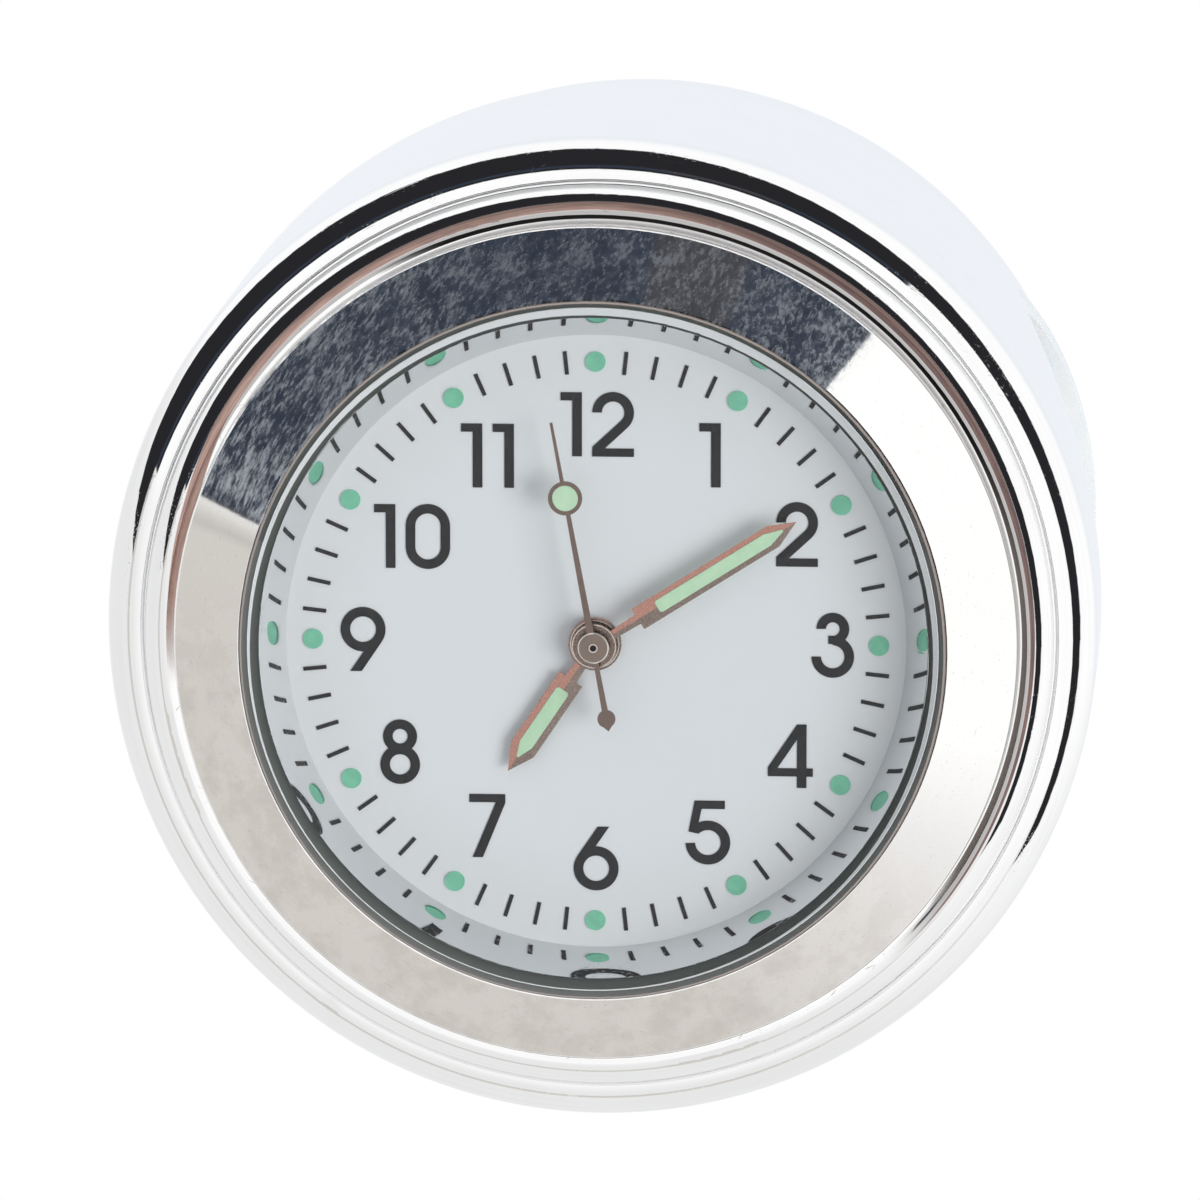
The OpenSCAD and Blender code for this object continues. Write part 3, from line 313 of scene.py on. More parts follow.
# Front ring: radii and depths in mm, spans in degrees anticlockwise from 3 o'clock
RUBBED_SPAN = (48.5, 159.0)
RUB_STRENGTH = ((50, 0.72), (72, 0.48), (102, 0.42), (122, 0.74), (150, 0.9))
BLOTCHY_SPAN = (180.0, 318.0)
LIT_WALL_SPAN = (122.0, 215.0)
WALL_RADIUS = (17.99, 18.03)
SEAT_RADIUS = (15.065, 15.055)
SEAT_DEPTH = (0.62, 0.68)
GLUE_START = 14.2
RING_WHITE = (0.985, 0.985, 0.98)
RING_BLOTCH = (0.875, 0.868, 0.858)
RING_SCUFF = (0.5, 0.47, 0.44)
# painted shade on the ring's outer wall
RING_WALL_SHADE = (0.28, 0.245, 0.24)
RING_HAZE = (0.84, 0.885, 0.97)
GLUE_DARK = (0.05, 0.06, 0.057)
GLUE_PALE = (0.24, 0.26, 0.25)
GLUE_CLOUD = (0.12, 0.13, 0.125)


def ring_grain(s, p):
    """Grain of slanting rubs and hairs, and the cloud that gathers it."""
    rubs = s.noise(s.turned(p, (0, -58, 0), (0.35, 1, 1)), 0.00036, 4, 0.7)
    hairs = s.noise(s.turned(p, (0, -66, 0), (0.26, 1, 1)), 0.00015, 3, 0.65)
    cloud = s.noise(s.turned(p, (0, -50, 0), (0.6, 1, 1)), 0.0011, 4, 0.65)
    grain = s.math("ADD", s.math("MULTIPLY", rubs, 0.32), s.math("MULTIPLY", hairs, 0.44))
    grain = s.math("ADD", grain, s.math("MULTIPLY", cloud, 0.24))
    return grain, cloud


def ring_haze(s, p, grain, cloud, around):
    """How dull the rubs make the ring, and where it is rubbed."""
    strength = s.ramp(s.math("DIVIDE", around, FULL_TURN), *round_stops(0, RUB_STRENGTH))
    haze = s.math("MULTIPLY", s.math("POWER", s.step(grain, 0.41, 0.61), 1.5), strength)
    glints = s.math("MULTIPLY", s.scratches(p, -58, 0.00008, 4, 0.6, 0.7), s.step(cloud, 0.45, 0.65))
    haze = s.math("ADD", haze, s.math("MULTIPLY", glints, 0.1), clamp=True)
    rubbed = s.math("ADD", s.math("MULTIPLY", s.between(around, *RUBBED_SPAN, 1.5), 0.97), 0.03)
    return s.math("MULTIPLY", haze, rubbed), rubbed


def ring_tone(s, p, radius, around):
    """White plating, blotchy below, with a few scuffs and painted shade on the outer wall outside its lit
    span.
    """
    blotch = s.noise(p, 0.0016, 6, 0.65)
    plain = s.math("SUBTRACT", 1.0, s.between(around, *BLOTCHY_SPAN, 14.0))
    plain = s.math("MAXIMUM", s.step(blotch, 0.36, 0.62), plain)
    tone = s.blend(plain, RING_BLOTCH, RING_WHITE)
    scuffs = s.math("MAXIMUM", s.scratches(p, 24, 0.00009, 12, 0.68, 0.74),
                    s.scratches(p, -75, 0.00008, 8, 0.69, 0.75))
    tone = s.blend(s.math("MULTIPLY", scuffs, 0.3), tone, RING_SCUFF)
    # painted shade on the outer wall, except in the lit span
    outside = s.step(radius, *WALL_RADIUS)
    shaded = s.math("SUBTRACT", 1.0, s.between(around, *LIT_WALL_SPAN, 6.0))
    wall = s.math("MULTIPLY", outside, shaded)
    return s.blend(s.math("MULTIPLY", wall, 0.88), tone, RING_WALL_SHADE)


def crystal_glue(s, p, radius, warp):
    """Dark sealant on the seat of the crystal."""
    glue = s.ramp(s.math("SUBTRACT", radius, GLUE_START), (0.0, GLUE_DARK), (0.8, GLUE_PALE))
    glue = s.blend(s.math("MULTIPLY", s.noise(p, 0.0004, 4), 0.5), glue, GLUE_CLOUD)
    return s.shader(Base_Color=glue, Roughness=0.5, Normal=s.bump(warp, 4 * MICRON))


def scratched_ring():
    """The front ring: mirror plating rubbed into a dense slanting grain that scatters the light."""
    s = Surface("ring_chrome")
    p = s.place()
    radius, angle, depth = clock_polar(s, p)
    warp = s.noise(p, 0.0009, 3)
    grain, cloud = ring_grain(s, p)
    around = s.math("MODULO", s.math("ADD", angle, FULL_TURN), FULL_TURN)
    haze, rubbed = ring_haze(s, p, grain, cloud, around)
    normal = s.bump(warp, 0.6 * MICRON)
    normal = s.bump(s.math("MULTIPLY", grain, rubbed), 0.6 * MICRON, normal)
    tone = ring_tone(s, p, radius, around)
    clear = s.shader(Base_Color=tone, Roughness=0.04, Metallic=1.0, Normal=normal)
    dull = s.shader(Base_Color=RING_HAZE, Roughness=0.38, Metallic=1.0, Normal=normal)
    metal = s.mixed(haze, clear, dull)
    seat = s.math("MULTIPLY", s.step(radius, *SEAT_RADIUS), s.step(depth, *SEAT_DEPTH))
    return s.finish(s.mixed(seat, metal, crystal_glue(s, p, radius, warp)))


def glass():
    """Clear mineral glass with a few rubs; light for the dial passes straight through it."""
    s = Surface("crystal_glass")
    p = s.place()
    marks = s.scratches(p, 22, 0.0001, 26, 0.7, 0.76)
    marks = s.math("MAXIMUM", marks, s.scratches(p, -51, 0.0001, 30, 0.71, 0.77))
    marks = s.math("MULTIPLY", marks, s.step(s.noise(p, 0.005, 2), 0.5, 0.7))
    normal = s.bump(marks, 0.6 * MICRON)
    clear = s.shader(Base_Color=(0.985, 0.99, 0.99), Roughness=0.0, Transmission_Weight=1.0, IOR=1.5,
                     Normal=normal)
    path = s.node("ShaderNodeLightPath").outputs
    passing = s.math("MAXIMUM", path["Is Shadow Ray"], path["Is Diffuse Ray"])
    through = s.node("ShaderNodeBsdfTransparent")
    through.inputs["Color"].default_value = (0.95, 0.96, 0.955, 1)
    return s.finish(s.mixed(passing, clear, through.outputs[0]))


def paint(name, colour, roughness=0.5, fleck=0.0002, variation=0.06):
    """Painted or moulded surface with a fine uneven skin."""
    s = Surface(name)
    p = s.place()
    fine = s.noise(p, fleck, 5, 0.6)
    broad = s.noise(p, fleck * 18, 3)
    mottle = s.math("ADD", s.math("MULTIPLY", fine, 0.5), s.math("MULTIPLY", broad, 0.5))
    dark = tuple(c * (1 - variation) for c in colour)
    light = tuple(min(1.0, c * (1 + variation)) for c in colour)
    tone = s.blend(s.step(mottle, 0.35, 0.65), dark, light)
    rough = s.math("ADD", s.math("MULTIPLY", fine, 0.16), roughness - 0.08)
    return s.finish(s.shader(Base_Color=tone, Roughness=rough, Normal=s.bump(fine, MICRON)))


def dial_paint():
    """Pale blue-grey satin lacquer with painted shade darkening it towards the rim, and faint specks."""
    s = Surface("dial_paint")
    p = s.place()
    radius = clock_polar(s, p)[0]
    # painted shade, darker towards the rim
    edge = s.step(radius, 8.0, 14.2)
    cloud = s.noise(p, 0.006, 3)
    speck = s.step(s.noise(p, 0.00012, 3), 0.66, 0.74)
    tone = s.blend(edge, (0.8, 0.822, 0.868), (0.73, 0.745, 0.775))
    tone = s.blend(s.math("MULTIPLY", cloud, 0.25), tone, (0.81, 0.83, 0.86))
    tone = s.blend(s.math("MULTIPLY", speck, 0.12), tone, (0.6, 0.63, 0.66))
    skin = s.noise(p, 0.00016, 4)
    rough = s.math("ADD", s.math("MULTIPLY", skin, 0.12), 0.36)
    shader = s.shader(Base_Color=tone, Roughness=rough, Normal=s.bump(skin, 0.8 * MICRON))
    return s.finish(shader)


def lume(name, colour, shade):
    """Grainy luminous paint with paler grains."""
    s = Surface(name)
    p = s.place()
    grain = s.noise(p, 0.00006, 4, 0.7)
    pool = s.noise(p, 0.0005, 2)
    tone = s.blend(s.step(pool, 0.3, 0.7), shade, colour)
    tone = s.blend(s.math("MULTIPLY", s.step(grain, 0.6, 0.75), 0.25), tone, (0.88, 0.95, 0.88))
    shader = s.shader(Base_Color=tone, Roughness=0.62, Subsurface_Weight=0.1,
                      Normal=s.bump(grain, 4 * MICRON))
    return s.finish(shader)


def hand_with_painted_reflection(name, degrees, hub):
    """Polished brownish hand metal, with a painted reflection that makes one flank coppery and the other
    grey-brown, and a painted highlight round its hub's edge.

    The hand points degrees clockwise from 12, and hub is its hub's radius in mm.
    """
    s = Surface(name)
    p = s.place()
    x, _, z = s.split(p)
    radius = clock_polar(s, p)[0]
    turn = math.radians(degrees)
    sideways = s.math("MULTIPLY", x, math.cos(turn))
    across = s.math("SUBTRACT", sideways, s.math("MULTIPLY", z, math.sin(turn)))
    # painted reflection: the upper-left flank is coppery and the lower-right flank grey-brown
    lit_flank_sign = -1 if degrees < HALF_TURN else 1
    lit_flank = s.step(s.math("MULTIPLY", across, lit_flank_sign / MM), -0.02, 0.02)
    fine = s.noise(p, 0.00009, 4, 0.6)
    grain = s.noise(s.turned(p, (0, degrees - 90, 0), (0.06, 1, 1)), 0.00004, 3, 0.7)
    tone = s.blend(lit_flank, (0.27, 0.215, 0.19), (0.52, 0.27, 0.22))
    tone = s.blend(s.step(radius, hub + 0.05, hub), tone, (0.3, 0.225, 0.19))
    tone = s.blend(s.math("MULTIPLY", grain, 0.2), tone, (0.34, 0.24, 0.21))
    # painted highlight round the hub's edge
    tone = s.blend(s.between(radius, hub - 0.055, hub - 0.015, 0.012), tone, (0.95, 0.86, 0.8))
    rough = s.math("ADD", s.math("MULTIPLY", fine, 0.14), 0.2)
    normal = s.bump(grain, 0.8 * MICRON)
    return s.finish(s.shader(Base_Color=tone, Roughness=rough, Metallic=1.0, Normal=normal))


def second_metal():
    """Grey-brown metal of the second hand, with painted highlights on the edges of its hub and round its
    hole.
    """
    s = Surface("second_metal")
    p = s.place()
    radius = clock_polar(s, p)[0]
    fine = s.noise(p, 0.00008, 4, 0.6)
    turned = s.noise(s.join(radius, 0.0, 0.0), 0.05, 3, 0.7)
    tone = s.blend(s.step(radius, 0.7, 0.66), (0.25, 0.185, 0.16), (0.31, 0.245, 0.21))
    tone = s.blend(s.math("MULTIPLY", turned, 0.3), tone, (0.2, 0.15, 0.13))
    # painted highlights on the hub's edge and round the hole
    edge_highlights = s.math("MAXIMUM", s.between(radius, 0.61, 0.665, 0.015), s.between(radius, 0.15, 0.19, 0.012))
    tone = s.blend(edge_highlights, tone, (0.95, 0.87, 0.81))
    rough = s.math("ADD", s.math("MULTIPLY", fine, 0.14), 0.26)
    normal = s.bump(fine, 0.8 * MICRON)
    return s.finish(s.shader(Base_Color=tone, Roughness=rough, Metallic=1.0, Normal=normal))


def ring_brushed(name, colour, centre=(0.0, 0.0), roughness=0.22, arbor=0.0):
    """Metal turned in fine circles about an axis along Y, near black within the arbor's radius where an
    arbor thickness is given.
    """
    s = Surface(name)
    p = s.place()
    x, y, z = s.split(p)
    dx = s.math("SUBTRACT", x, centre[0])
    dz = s.math("SUBTRACT", z, centre[1])
    radius = s.math("SQRT", s.math("ADD", s.math("MULTIPLY", dx, dx), s.math("MULTIPLY", dz, dz)))
    lines = s.noise(s.join(radius, s.math("MULTIPLY", y, 0.2), 0.0), 0.00006, 3, 0.7)
    wide = s.noise(s.join(radius, 0.0, 0.0), 0.0006, 2)
    patches = s.noise(p, 0.002, 3)
    tone = s.blend(s.math("MULTIPLY", s.math("ADD", lines, patches), 0.5),
                   tuple(c * 0.88 for c in colour), colour)
    if arbor:
        tone = s.blend(s.step(radius, arbor / 2 + ARBOR_EDGE, arbor / 2), tone, (0.03, 0.026, 0.026))
    rough = s.math("ADD", s.math("MULTIPLY", wide, 0.14), roughness)
    normal = s.bump(lines, 1.2 * MICRON)
    normal = s.bump(patches, MICRON, normal)
    return s.finish(s.shader(Base_Color=tone, Roughness=rough, Metallic=1.0, Normal=normal))


def straight_brushed(name, colour, angle=0.0, roughness=0.25):
    """Sheet metal with a straight grain."""
    s = Surface(name)
    p = s.place()
    drawn = s.turned(p, (0, angle, 0), (0.03, 1, 1))
    lines = s.noise(drawn, 0.00005, 3, 0.7)
    patches = s.noise(p, 0.0015, 4)
    tone = s.blend(s.math("MULTIPLY", s.math("ADD", lines, patches), 0.5),
                   tuple(c * 0.86 for c in colour), colour)
    rough = s.math("ADD", s.math("MULTIPLY", patches, 0.2), roughness - 0.06)
    normal = s.bump(lines, MICRON)
    return s.finish(s.shader(Base_Color=tone, Roughness=rough, Metallic=1.0, Normal=normal))


def rubber(name, colour):
    """Black rubber, dusty and slightly grained."""
    s = Surface(name)
    p = s.place()
    grain = s.noise(p, 0.0001, 4, 0.7)
    dust = s.step(s.noise(p, 0.0016, 5), 0.52, 0.75)
    tone = s.blend(s.math("MULTIPLY", dust, 0.3), colour, (0.16, 0.155, 0.15))
    rough = s.math("ADD", s.math("MULTIPLY", grain, 0.2), 0.6)
    return s.finish(s.shader(Base_Color=tone, Roughness=rough, Normal=s.bump(grain, 6 * MICRON)))


def wound_wire():
    """Enamelled copper wire laid side by side round the core."""
    s = Surface("copper_wire")
    p = s.place()
    turns = s.noise(s.turned(p, (0, 0, 0), (1, 0.02, 0.02)), 0.00005, 1)
    tone = s.blend(turns, (0.42, 0.16, 0.06), (0.85, 0.44, 0.22))
    rough = s.math("ADD", s.math("MULTIPLY", s.noise(p, 0.0003, 3), 0.2), 0.18)
    return s.finish(s.shader(Base_Color=tone, Roughness=rough, Metallic=0.85, Coat_Weight=0.4,
                             Normal=s.bump(turns, 10 * MICRON)))


def board():
    """Green solder mask with tinned tracks under it."""
    s = Surface("board_green")
    p = s.place()
    made = s.node("ShaderNodeTexBrick", offset=0.5)
    s.feed(made.inputs["Vector"], s.turned(p, (90, 0, 12)))
    made.inputs["Scale"].default_value = 900.0
    made.inputs["Mortar Size"].default_value = 0.06
    tracks = made.outputs["Fac"]
    weave = s.noise(p, 0.0002, 3)
    tone = s.blend(s.math("MULTIPLY", tracks, 0.5), (0.03, 0.2, 0.1), (0.1, 0.36, 0.2))
    tone = s.blend(s.math("MULTIPLY", weave, 0.3), tone, (0.02, 0.14, 0.08))
    height = s.math("ADD", tracks, s.math("MULTIPLY", weave, 0.3))
    return s.finish(s.shader(Base_Color=tone, Roughness=0.32, Coat_Weight=0.5, Coat_Roughness=0.12,
                             Normal=s.bump(height, 10 * MICRON)))


def milky_plastic():
    """Pale slightly see-through shim plastic with moulding ripple and rubs."""
    s = Surface("liner_plastic")
    p = s.place()
    skin = s.noise(p, 0.0003, 4)
    flow = s.noise(s.turned(p, (0, 0, 0), (0.3, 1, 1)), 0.003, 3)
    tone = s.blend(s.step(flow, 0.3, 0.7), (0.94, 0.95, 0.965), (0.975, 0.98, 0.99))
    rough = s.math("ADD", s.math("MULTIPLY", skin, 0.12), 0.2)
    return s.finish(s.shader(Base_Color=tone, Roughness=rough, Subsurface_Weight=0.15, IOR=1.49,
                             Normal=s.bump(skin, 1.5 * MICRON)))


def wheel_axis(node):
    """Middle of a node across the face, as (x, z)."""
    low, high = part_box(node)
    return ((low.x + high.x) / 2, (low.z + high.z) / 2)


HOUR_ANGLE = 213.9
MINUTE_ANGLE = 57.6
HOUR_HUB = 1.07
MINUTE_HUB = 0.96
ARBOR = 0.42 * MM
ARBOR_EDGE = 10 * MICRON
BRASS = (0.83, 0.66, 0.34)
STEEL = (0.66, 0.66, 0.68)


def own_looks():
    """Material of each piece that shares its material with no other."""
    return {
        "housing": polished_metal("housing_chrome", (0.965, 0.967, 0.97), 0.03, 0.18, housing_wear_and_painted_light),
        "clamp_cap": polished_metal("cap_chrome", (0.95, 0.953, 0.957), 0.035, 0.2),
        "watch_case": scratched_ring(),
        "rehaut_ring": polished_metal("cone_mirror", (0.8, 0.81, 0.82), 0.02, 0.08),
        "crown": polished_metal("crown_chrome", (0.84, 0.84, 0.85), 0.04, 0.2),
        "crystal": glass(),
        "crystal_gasket": paint("gasket_nylon", (0.36, 0.31, 0.29), 0.4, 0.0001),
        "dial": dial_paint(),
        "dial_print": paint("dial_ink", (0.014, 0.014, 0.016), 0.5, 0.00006, 0.2),
        "dial_dots": lume("dot_lume", (0.24, 0.67, 0.46), (0.2, 0.58, 0.4)),
        "case_back": ring_brushed("case_back_steel", (0.66, 0.66, 0.67)),
        "movement_holder": paint("holder_plastic", (0.8, 0.8, 0.77), 0.5),
        "main_plate": straight_brushed("plate_brass", (0.78, 0.64, 0.36), 20),
        "train_bridge": straight_brushed("bridge_brass", (0.8, 0.66, 0.38), 65),
        "dial_washer": ring_brushed("washer_brass", BRASS),
        "cannon_pinion": ring_brushed("pinion_steel", STEEL, (0.0, 0.0), 0.18),
        "battery_clip": straight_brushed("clip_steel", (0.68, 0.68, 0.7), 40, 0.2),
        "yoke": straight_brushed("yoke_steel", STEEL, 75, 0.22),
        "setting_lever": straight_brushed("lever_steel", STEEL, 15, 0.22),
        "stem": straight_brushed("stem_steel", STEEL, 0, 0.2),
        "crown_tube": straight_brushed("tube_steel", STEEL, 90, 0.24),
        "rotor": ring_brushed("magnet_dark", (0.25, 0.25, 0.27), wheel_axis("rotor"), 0.3),
        "stator": straight_brushed("stator_iron", (0.45, 0.45, 0.47), 10, 0.35),
        "coil_core": straight_brushed("core_iron", (0.47, 0.47, 0.48), 0, 0.35),
        "coil_winding": wound_wire(),
        "circuit_board": board(),
        "quartz_can": straight_brushed("can_metal", (0.75, 0.75, 0.76), 0, 0.18),
        "timing_chip": paint("chip_black", (0.03, 0.03, 0.03), 0.5, 0.0001, 0.3),
        "battery": ring_brushed("cell_steel", (0.75, 0.75, 0.76), wheel_axis("battery"), 0.2),
        "second_hand": second_metal(),
        "hour_hand": hand_with_painted_reflection("hour_metal", HOUR_ANGLE, HOUR_HUB),
        "minute_hand": hand_with_painted_reflection("minute_metal", MINUTE_ANGLE, MINUTE_HUB),
    }


def shared_looks():
    """Materials of the pieces that come in groups."""
    made = dict.fromkeys(("hour_lume", "minute_lume", "second_lume"),
                         lume("hand_lume", (0.58, 0.84, 0.58), (0.52, 0.78, 0.53)))
    made.update(dict.fromkeys(("back_gasket", "seal_ring", "crown_gasket"),
                              rubber("black_rubber", (0.03, 0.03, 0.032))))
    made.update(dict.fromkeys(("liner_front", "liner_rear"), milky_plastic()))
    for name in ("clamp_screw_upper", "clamp_screw_lower"):
        made[name] = ring_brushed(name + "_steel", (0.62, 0.62, 0.63), wheel_axis(name), 0.24)
    for name in ("hour_wheel", "minute_wheel", "centre_wheel", "third_wheel", "fourth_wheel",
                 "intermediate_wheel", "setting_wheel"):
        made[name] = ring_brushed(name + "_brass", BRASS, wheel_axis(name), 0.18, ARBOR)
    made["clutch_wheel"] = straight_brushed("clutch_brass", BRASS, 90, 0.2)
    made.update(dict.fromkeys(("bridge_screws", "clip_screw", "coil_screws", "board_screws"),
                              polished_metal("screw_steel", STEEL, 0.12, 0.15)))
    return made


looks = own_looks()
looks.update(shared_looks())
for name, piece in nodes.items():
    for slot in piece.material_slots:
        slot.material = looks[name]

# Camera at the photograph's viewing angle, with PHOTO, AIM_PIXEL and FOCAL in pixels and SENSOR in mm
PHOTO = 1200
AIM_PIXEL = (591.4, 652.4)
FOCAL = 10097
AZIMUTH = math.radians(4.2)
ELEVATION = math.radians(10.2)
DISTANCE = 0.429
AIM_DEPTH = 0.49 * MM
SENSOR = 36.0
NEAREST = 0.01

toward = Vector((math.sin(AZIMUTH) * math.cos(ELEVATION), -math.cos(AZIMUTH) * math.cos(ELEVATION),
                 math.sin(ELEVATION)))
aim = Vector((0, FACE_Y + AIM_DEPTH, 0))


def photo_camera():
    """Camera at the photograph's angle, turned so that the aim falls on its own pixel."""
    right = Vector((0, 0, 1)).cross(toward).normalized()
    above = toward.cross(right)
    middle = -toward * FOCAL + right * (PHOTO / 2 - AIM_PIXEL[0]) + above * (AIM_PIXEL[1] - PHOTO / 2)
    data = bpy.data.cameras.new("camera")
    data.sensor_width = SENSOR
    data.lens = FOCAL * SENSOR / PHOTO
    data.clip_start = NEAREST
    camera = bpy.data.objects.new("camera", data)
    bpy.context.scene.collection.objects.link(camera)
    camera.rotation_euler = middle.to_track_quat("-Z", "Y").to_euler()
    camera.location = aim + toward * DISTANCE
    return camera


bpy.context.scene.camera = photo_camera()

# Studio wall, in degrees of tilt from the direction that a flat front mirrors, and of turn about it
FRONT_RING_TILT = (57.5, 63.0)
FRONT_RING_FADE = 0.8
DARK_TURNS = (47.0, 165.5)
DARK_NEAR = 62.0
DARK_NEARER = 10.0
DARK_FAR = ((-38, 0.3), (-33, 0.44), (-6, 0.48), (43, 0.55), (92, 0.62), (140, 0.63), (163, 0.63),
            (170, 0.56), (175, 0.44), (179, 0.3))
FRAY = 7.0
POST_TURNS = (67.5, 82.5)
ROOM_BLACK = (0.02, 0.02, 0.023)
ROOM_POST = (0.06, 0.058, 0.06)
DENIM_DARK = (0.012, 0.016, 0.026)
DENIM_PALE = (0.05, 0.064, 0.092)
SOFT_WALL = ((-180, 0.81), (-70, 0.81), (-34, 0.95), (-20, 1.0), (163, 1.0), (168, 0.88), (180, 0.81))
WARM_WALL = ((-180, (0.61, 0.58, 0.545)), (-75, (0.625, 0.595, 0.56)), (-52, (0.73, 0.7, 0.68)),
             (-37, (0.82, 0.805, 0.795)), (-26, (0.94, 0.93, 0.92)), (-20, (1.0, 0.998, 0.985)),
             (165, (1.0, 0.998, 0.985)), (166.5, (0.63, 0.605, 0.575)), (167.6, (0.62, 0.6, 0.57)),
             (168.4, (0.47, 0.46, 0.44)), (169.6, (0.61, 0.585, 0.55)), (180, (0.61, 0.58, 0.545)))
WALL_CLOUD = (0.55, 0.53, 0.5)
WALL_WHITE = (1.0, 0.998, 0.99)
WALL_BLUE = (0.835, 0.862, 0.905)
WHITE_TILT = (50.0, 30.0)
BLUE_TILT = (132.0, 156.0)
WALL_STRENGTH = 1.05


def wall_angles(s, p):
    """Tilt from the direction that the front mirrors, and turn about it, in degrees."""
    unit = s.node("ShaderNodeVectorMath", operation="NORMALIZE")
    s.feed(unit.inputs[0], p)
    facing = Vector((0, -1, 0))
    pole = 2 * toward.dot(facing) * facing - toward
    side = Vector((0, 0, 1)).cross(pole).normalized()
    side *= math.copysign(1, side.x)
    over = pole.cross(side)
    over *= math.copysign(1, over.z)

    def along(axis):
        """Part of the direction that lies along an axis."""
        made = s.node("ShaderNodeVectorMath", operation="DOT_PRODUCT")
        s.feed(made.inputs[0], unit.outputs[0])
        made.inputs[1].default_value = axis
        return made.outputs["Value"]

    tilt = s.math("DEGREES", s.math("ARCCOSINE", along(pole)))
    turn = s.math("DEGREES", s.math("ARCTAN2", along(over), along(side)))
    return tilt, turn


def dark_room(s, tilt, turn, around):
    """1 inside the dark room above the clock, with a frayed edge."""
    fray = s.noise(s.join(turn, s.math("MULTIPLY", tilt, 0.15), 0.0), 3.0, 5, 0.7)
    fray = s.math("MULTIPLY", s.math("SUBTRACT", fray, 0.5), FRAY)
    far = s.ramp(around, *round_stops(HALF_TURN, DARK_FAR))
    far = s.math("ADD", s.math("MULTIPLY", far, HALF_TURN), fray)
    wide = s.between(turn, *DARK_TURNS, 0.3)
    near = s.math("SUBTRACT", DARK_NEAR, s.math("MULTIPLY", wide, DARK_NEARER))
    return s.math("MULTIPLY", s.step(s.math("SUBTRACT", tilt, near), 0.0, 1.5),
                  s.step(s.math("SUBTRACT", far, tilt), 0.0, 3.0))


def dark_tone(s, tilt, turn):
    """Colour of the dark room: black, and blue denim with a post where the front ring mirrors it."""
    denim = s.noise(s.join(turn, tilt, 0.0), 4.0, 4, 0.6)
    navy = s.blend(denim, DENIM_DARK, DENIM_PALE)
    post = s.between(turn, *POST_TURNS, 1.0)
    navy = s.blend(s.math("MULTIPLY", post, 0.7), navy, ROOM_POST)
    return s.blend(s.between(tilt, *FRONT_RING_TILT, FRONT_RING_FADE), ROOM_BLACK, navy)


def pale_tone(s, tilt, turn, around):
    """Colour of the pale wall: warm below where the front ring mirrors it, bluish far behind."""
    soft = s.ramp(around, *round_stops(HALF_TURN, SOFT_WALL))
    warm = s.ramp(around, *round_stops(HALF_TURN, WARM_WALL))
    cloud = s.noise(s.join(turn, s.math("MULTIPLY", tilt, 2.0), 0.0), 25.0, 3)
    pale = s.blend(s.between(tilt, *FRONT_RING_TILT, FRONT_RING_FADE), soft, warm)
    pale = s.blend(s.math("MULTIPLY", s.step(cloud, 0.35, 0.8), 0.12), pale, WALL_CLOUD)
    pale = s.blend(s.step(tilt, *WHITE_TILT), pale, WALL_WHITE)
    return s.blend(s.step(tilt, *BLUE_TILT), pale, WALL_BLUE)


def studio_dome():
    """Round studio wall that only polished surfaces see: white, with a dark room above the clock."""
    s = Surface("studio_wall")
    p = s.place()
    tilt, turn = wall_angles(s, p)
    around = s.math("DIVIDE", s.math("ADD", turn, HALF_TURN), FULL_TURN)
    inside = dark_room(s, tilt, turn, around)
    dark = dark_tone(s, tilt, turn)
    pale = pale_tone(s, tilt, turn, around)
    made = s.node("ShaderNodeEmission")
    s.feed(made.inputs["Color"], s.blend(inside, pale, dark))
    made.inputs["Strength"].default_value = WALL_STRENGTH
    return s.finish(made.outputs[0])


def sphere_mesh(name, radius, rings, segments):
    """Smooth sphere about the origin."""
    mesh = bpy.data.meshes.new(name)
    points = [(0, 0, radius), (0, 0, -radius)]
    for i in range(1, rings):
        tilt = math.pi * i / rings
        wide = radius * math.sin(tilt)
        for j in range(segments):
            turn = 2 * math.pi * j / segments
            points.append((wide * math.cos(turn), wide * math.sin(turn), radius * math.cos(tilt)))
    faces = []
    for j in range(segments):
        after = (j + 1) % segments
        faces.append((0, 2 + after, 2 + j))
        last = 2 + (rings - 2) * segments
        faces.append((1, last + j, last + after))
        for i in range(rings - 2):
            a = 2 + i * segments
            faces.append((a + j, a + after, a + segments + after, a + segments + j))
    mesh.from_pydata(points, [], faces)
    mesh.shade_smooth()
    return mesh


DISC_STEP = 5


def disc_mesh(name, radius):
    """Flat disc about the origin, facing along Z."""
    mesh = bpy.data.meshes.new(name)
    angles = [math.radians(a) for a in range(0, int(FULL_TURN), DISC_STEP)]
    rim = [(radius * math.cos(a), radius * math.sin(a), 0) for a in angles]
    mesh.from_pydata(rim, [], [tuple(range(len(rim)))])
    return mesh


def set_up(name, mesh, material, place):
    """A piece of the studio at its place."""
    made = bpy.data.objects.new(name, mesh)
    bpy.context.scene.collection.objects.link(made)
    made.location = place
    made.data.materials.append(material)
    return made


def only_mirrored(piece):
    """Leaves a piece of the studio to be seen only in polished and clear surfaces."""
    piece.visible_camera = False
    piece.visible_diffuse = False
    piece.visible_shadow = False


DOME_RADIUS = 1.6
DOME_RINGS = 48
DOME_SEGMENTS = 96
dome = set_up("studio_dome", sphere_mesh("studio_dome", DOME_RADIUS, DOME_RINGS, DOME_SEGMENTS),
              studio_dome(), aim)
only_mirrored(dome)


def flag_paint():
    """Dark felt of the flag that the flat of the crystal mirrors."""
    s = Surface("flag_felt")
    p = s.place()
    made = s.node("ShaderNodeEmission")
    nap = s.blend(s.noise(p, 0.004, 4), (0.13, 0.135, 0.14), (0.18, 0.18, 0.185))
    s.feed(made.inputs["Color"], nap)
    return s.finish(made.outputs[0])


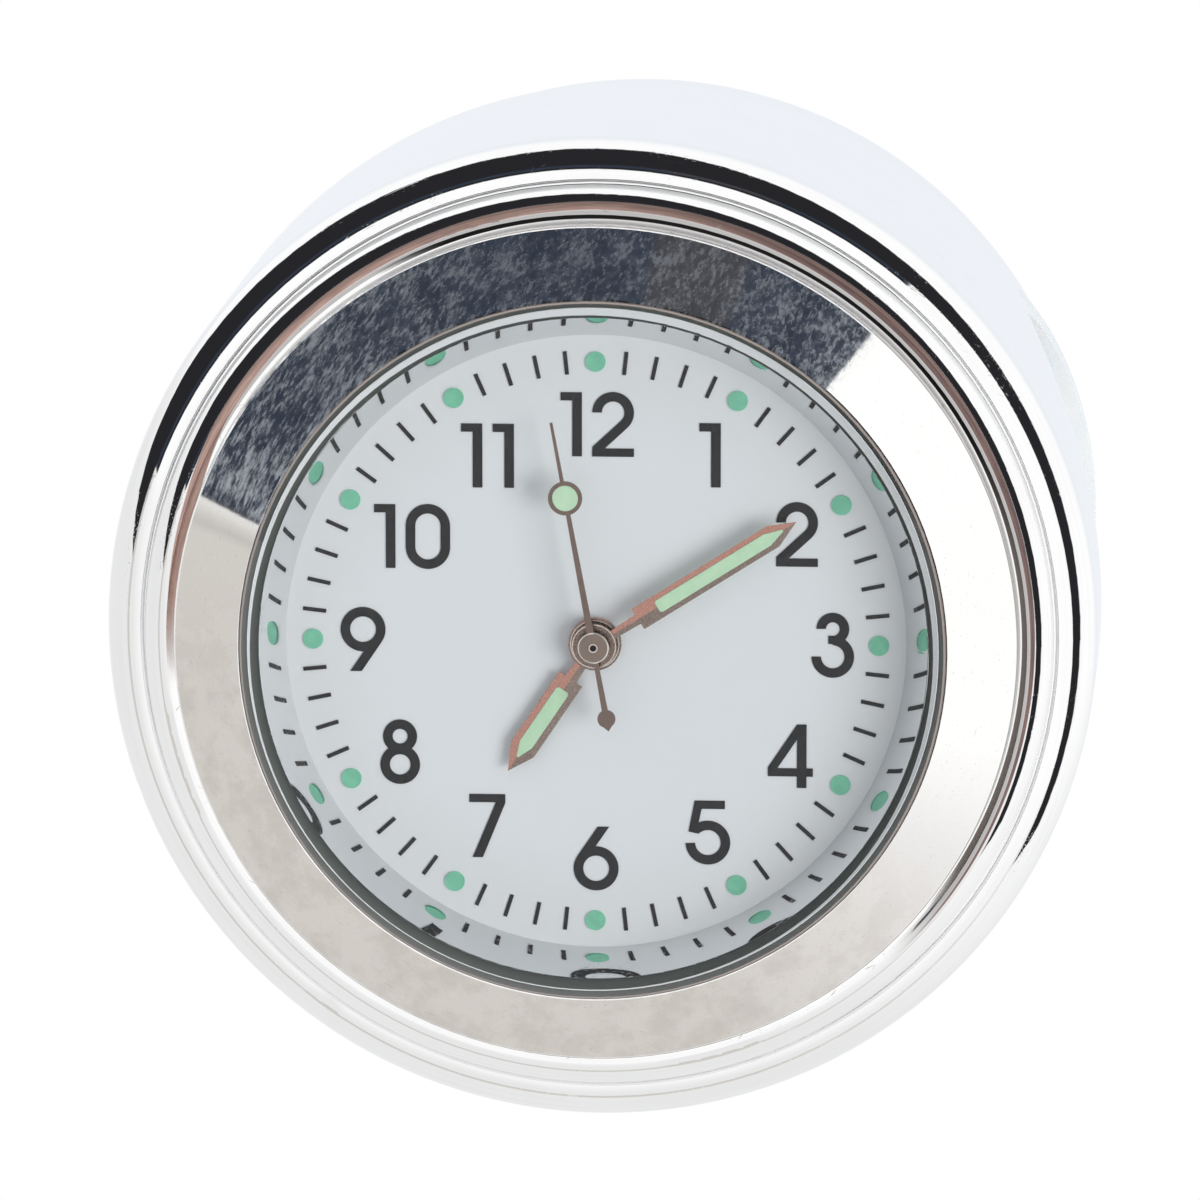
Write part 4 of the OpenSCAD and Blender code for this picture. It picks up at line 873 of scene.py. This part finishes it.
# Flag in front of the clock, so that the crystal doesn't wash out the dial
FLAG_FAR = 0.25
FLAG_RADIUS = 0.0255
mirrored = Vector((-toward.x, toward.y, -toward.z))
flag = set_up("flag", disc_mesh("flag", FLAG_RADIUS), flag_paint(), aim + mirrored * FLAG_FAR)
flag.rotation_euler = mirrored.to_track_quat("Z", "Y").to_euler()
only_mirrored(flag)

FLOOR_Z = -0.15
FLOOR_RADIUS = 0.32
FLOOR_FADE = (0.1, 0.3)


def floor_paint():
    """Pale floor that fades to the white background at its edge."""
    s = Surface("floor_paint")
    p = s.place()
    x, y, _ = s.split(p)
    radius = s.math("SQRT", s.math("ADD", s.math("MULTIPLY", x, x), s.math("MULTIPLY", y, y)))
    tone = s.blend(s.noise(p, 0.01, 4), (0.93, 0.93, 0.93), (0.96, 0.96, 0.96))
    path = s.node("ShaderNodeLightPath").outputs
    matt = s.shader(Base_Color=tone, Roughness=0.9, Emission_Color=(1.0, 0.98, 0.96),
                    Emission_Strength=s.math("MULTIPLY", path["Is Camera Ray"], 0.45))
    white = s.node("ShaderNodeEmission")
    white.inputs["Color"].default_value = (1, 1, 1, 1)
    fade = s.math("MULTIPLY", s.step(radius, *FLOOR_FADE), path["Is Camera Ray"])
    return s.finish(s.mixed(fade, matt, white.outputs[0]))


floor = set_up("floor", disc_mesh("floor", FLOOR_RADIUS), floor_paint(), (0, 0, FLOOR_Z))
floor.visible_glossy = False


WHITE = (1, 1, 1, 1)
SKY_COLOUR = (0.97, 0.985, 1.0, 1)
SKY_STRENGTH = 0.62


def background(tree, colour, strength):
    """A plain background of the world."""
    made = tree.nodes.new("ShaderNodeBackground")
    made.inputs["Color"].default_value = colour
    made.inputs["Strength"].default_value = strength
    return made


def studio_world():
    """White behind the object and in what it mirrors, plain soft light elsewhere."""
    world = bpy.data.worlds.new("studio")
    world.use_nodes = True
    tree = world.node_tree
    tree.nodes.clear()
    path = tree.nodes.new("ShaderNodeLightPath").outputs
    backdrop = background(tree, WHITE, 1.0)
    light = background(tree, SKY_COLOUR, SKY_STRENGTH)
    seen = path["Is Camera Ray"]
    for ray in ("Is Glossy Ray", "Is Transmission Ray"):
        either = tree.nodes.new("ShaderNodeMath")
        either.operation = "MAXIMUM"
        tree.links.new(seen, either.inputs[0])
        tree.links.new(path[ray], either.inputs[1])
        seen = either.outputs[0]
    both = tree.nodes.new("ShaderNodeMixShader")
    tree.links.new(seen, both.inputs[0])
    tree.links.new(light.outputs[0], both.inputs[1])
    tree.links.new(backdrop.outputs[0], both.inputs[2])
    tree.links.new(both.outputs[0], tree.nodes.new("ShaderNodeOutputWorld").inputs["Surface"])
    return world


LAMP_POWER = 1.7
LAMP_SPREAD = math.radians(34)
LAMP_COLOUR = (1.0, 0.985, 0.96)
LAMP_WAY = Vector((-1.0, 1.0, 0.14))


def soft_lamp():
    """Soft lamp from the right, which draws the shadows of the rim and the hands on the dial."""
    data = bpy.data.lights.new("lamp", "SUN")
    data.energy = LAMP_POWER
    data.angle = LAMP_SPREAD
    data.color = LAMP_COLOUR
    lamp = bpy.data.objects.new("lamp", data)
    bpy.context.scene.collection.objects.link(lamp)
    lamp.rotation_euler = LAMP_WAY.to_track_quat("-Z", "Y").to_euler()
    lamp.visible_glossy = False


bpy.context.scene.world = studio_world()
soft_lamp()
bpy.context.scene.view_settings.view_transform = "Standard"
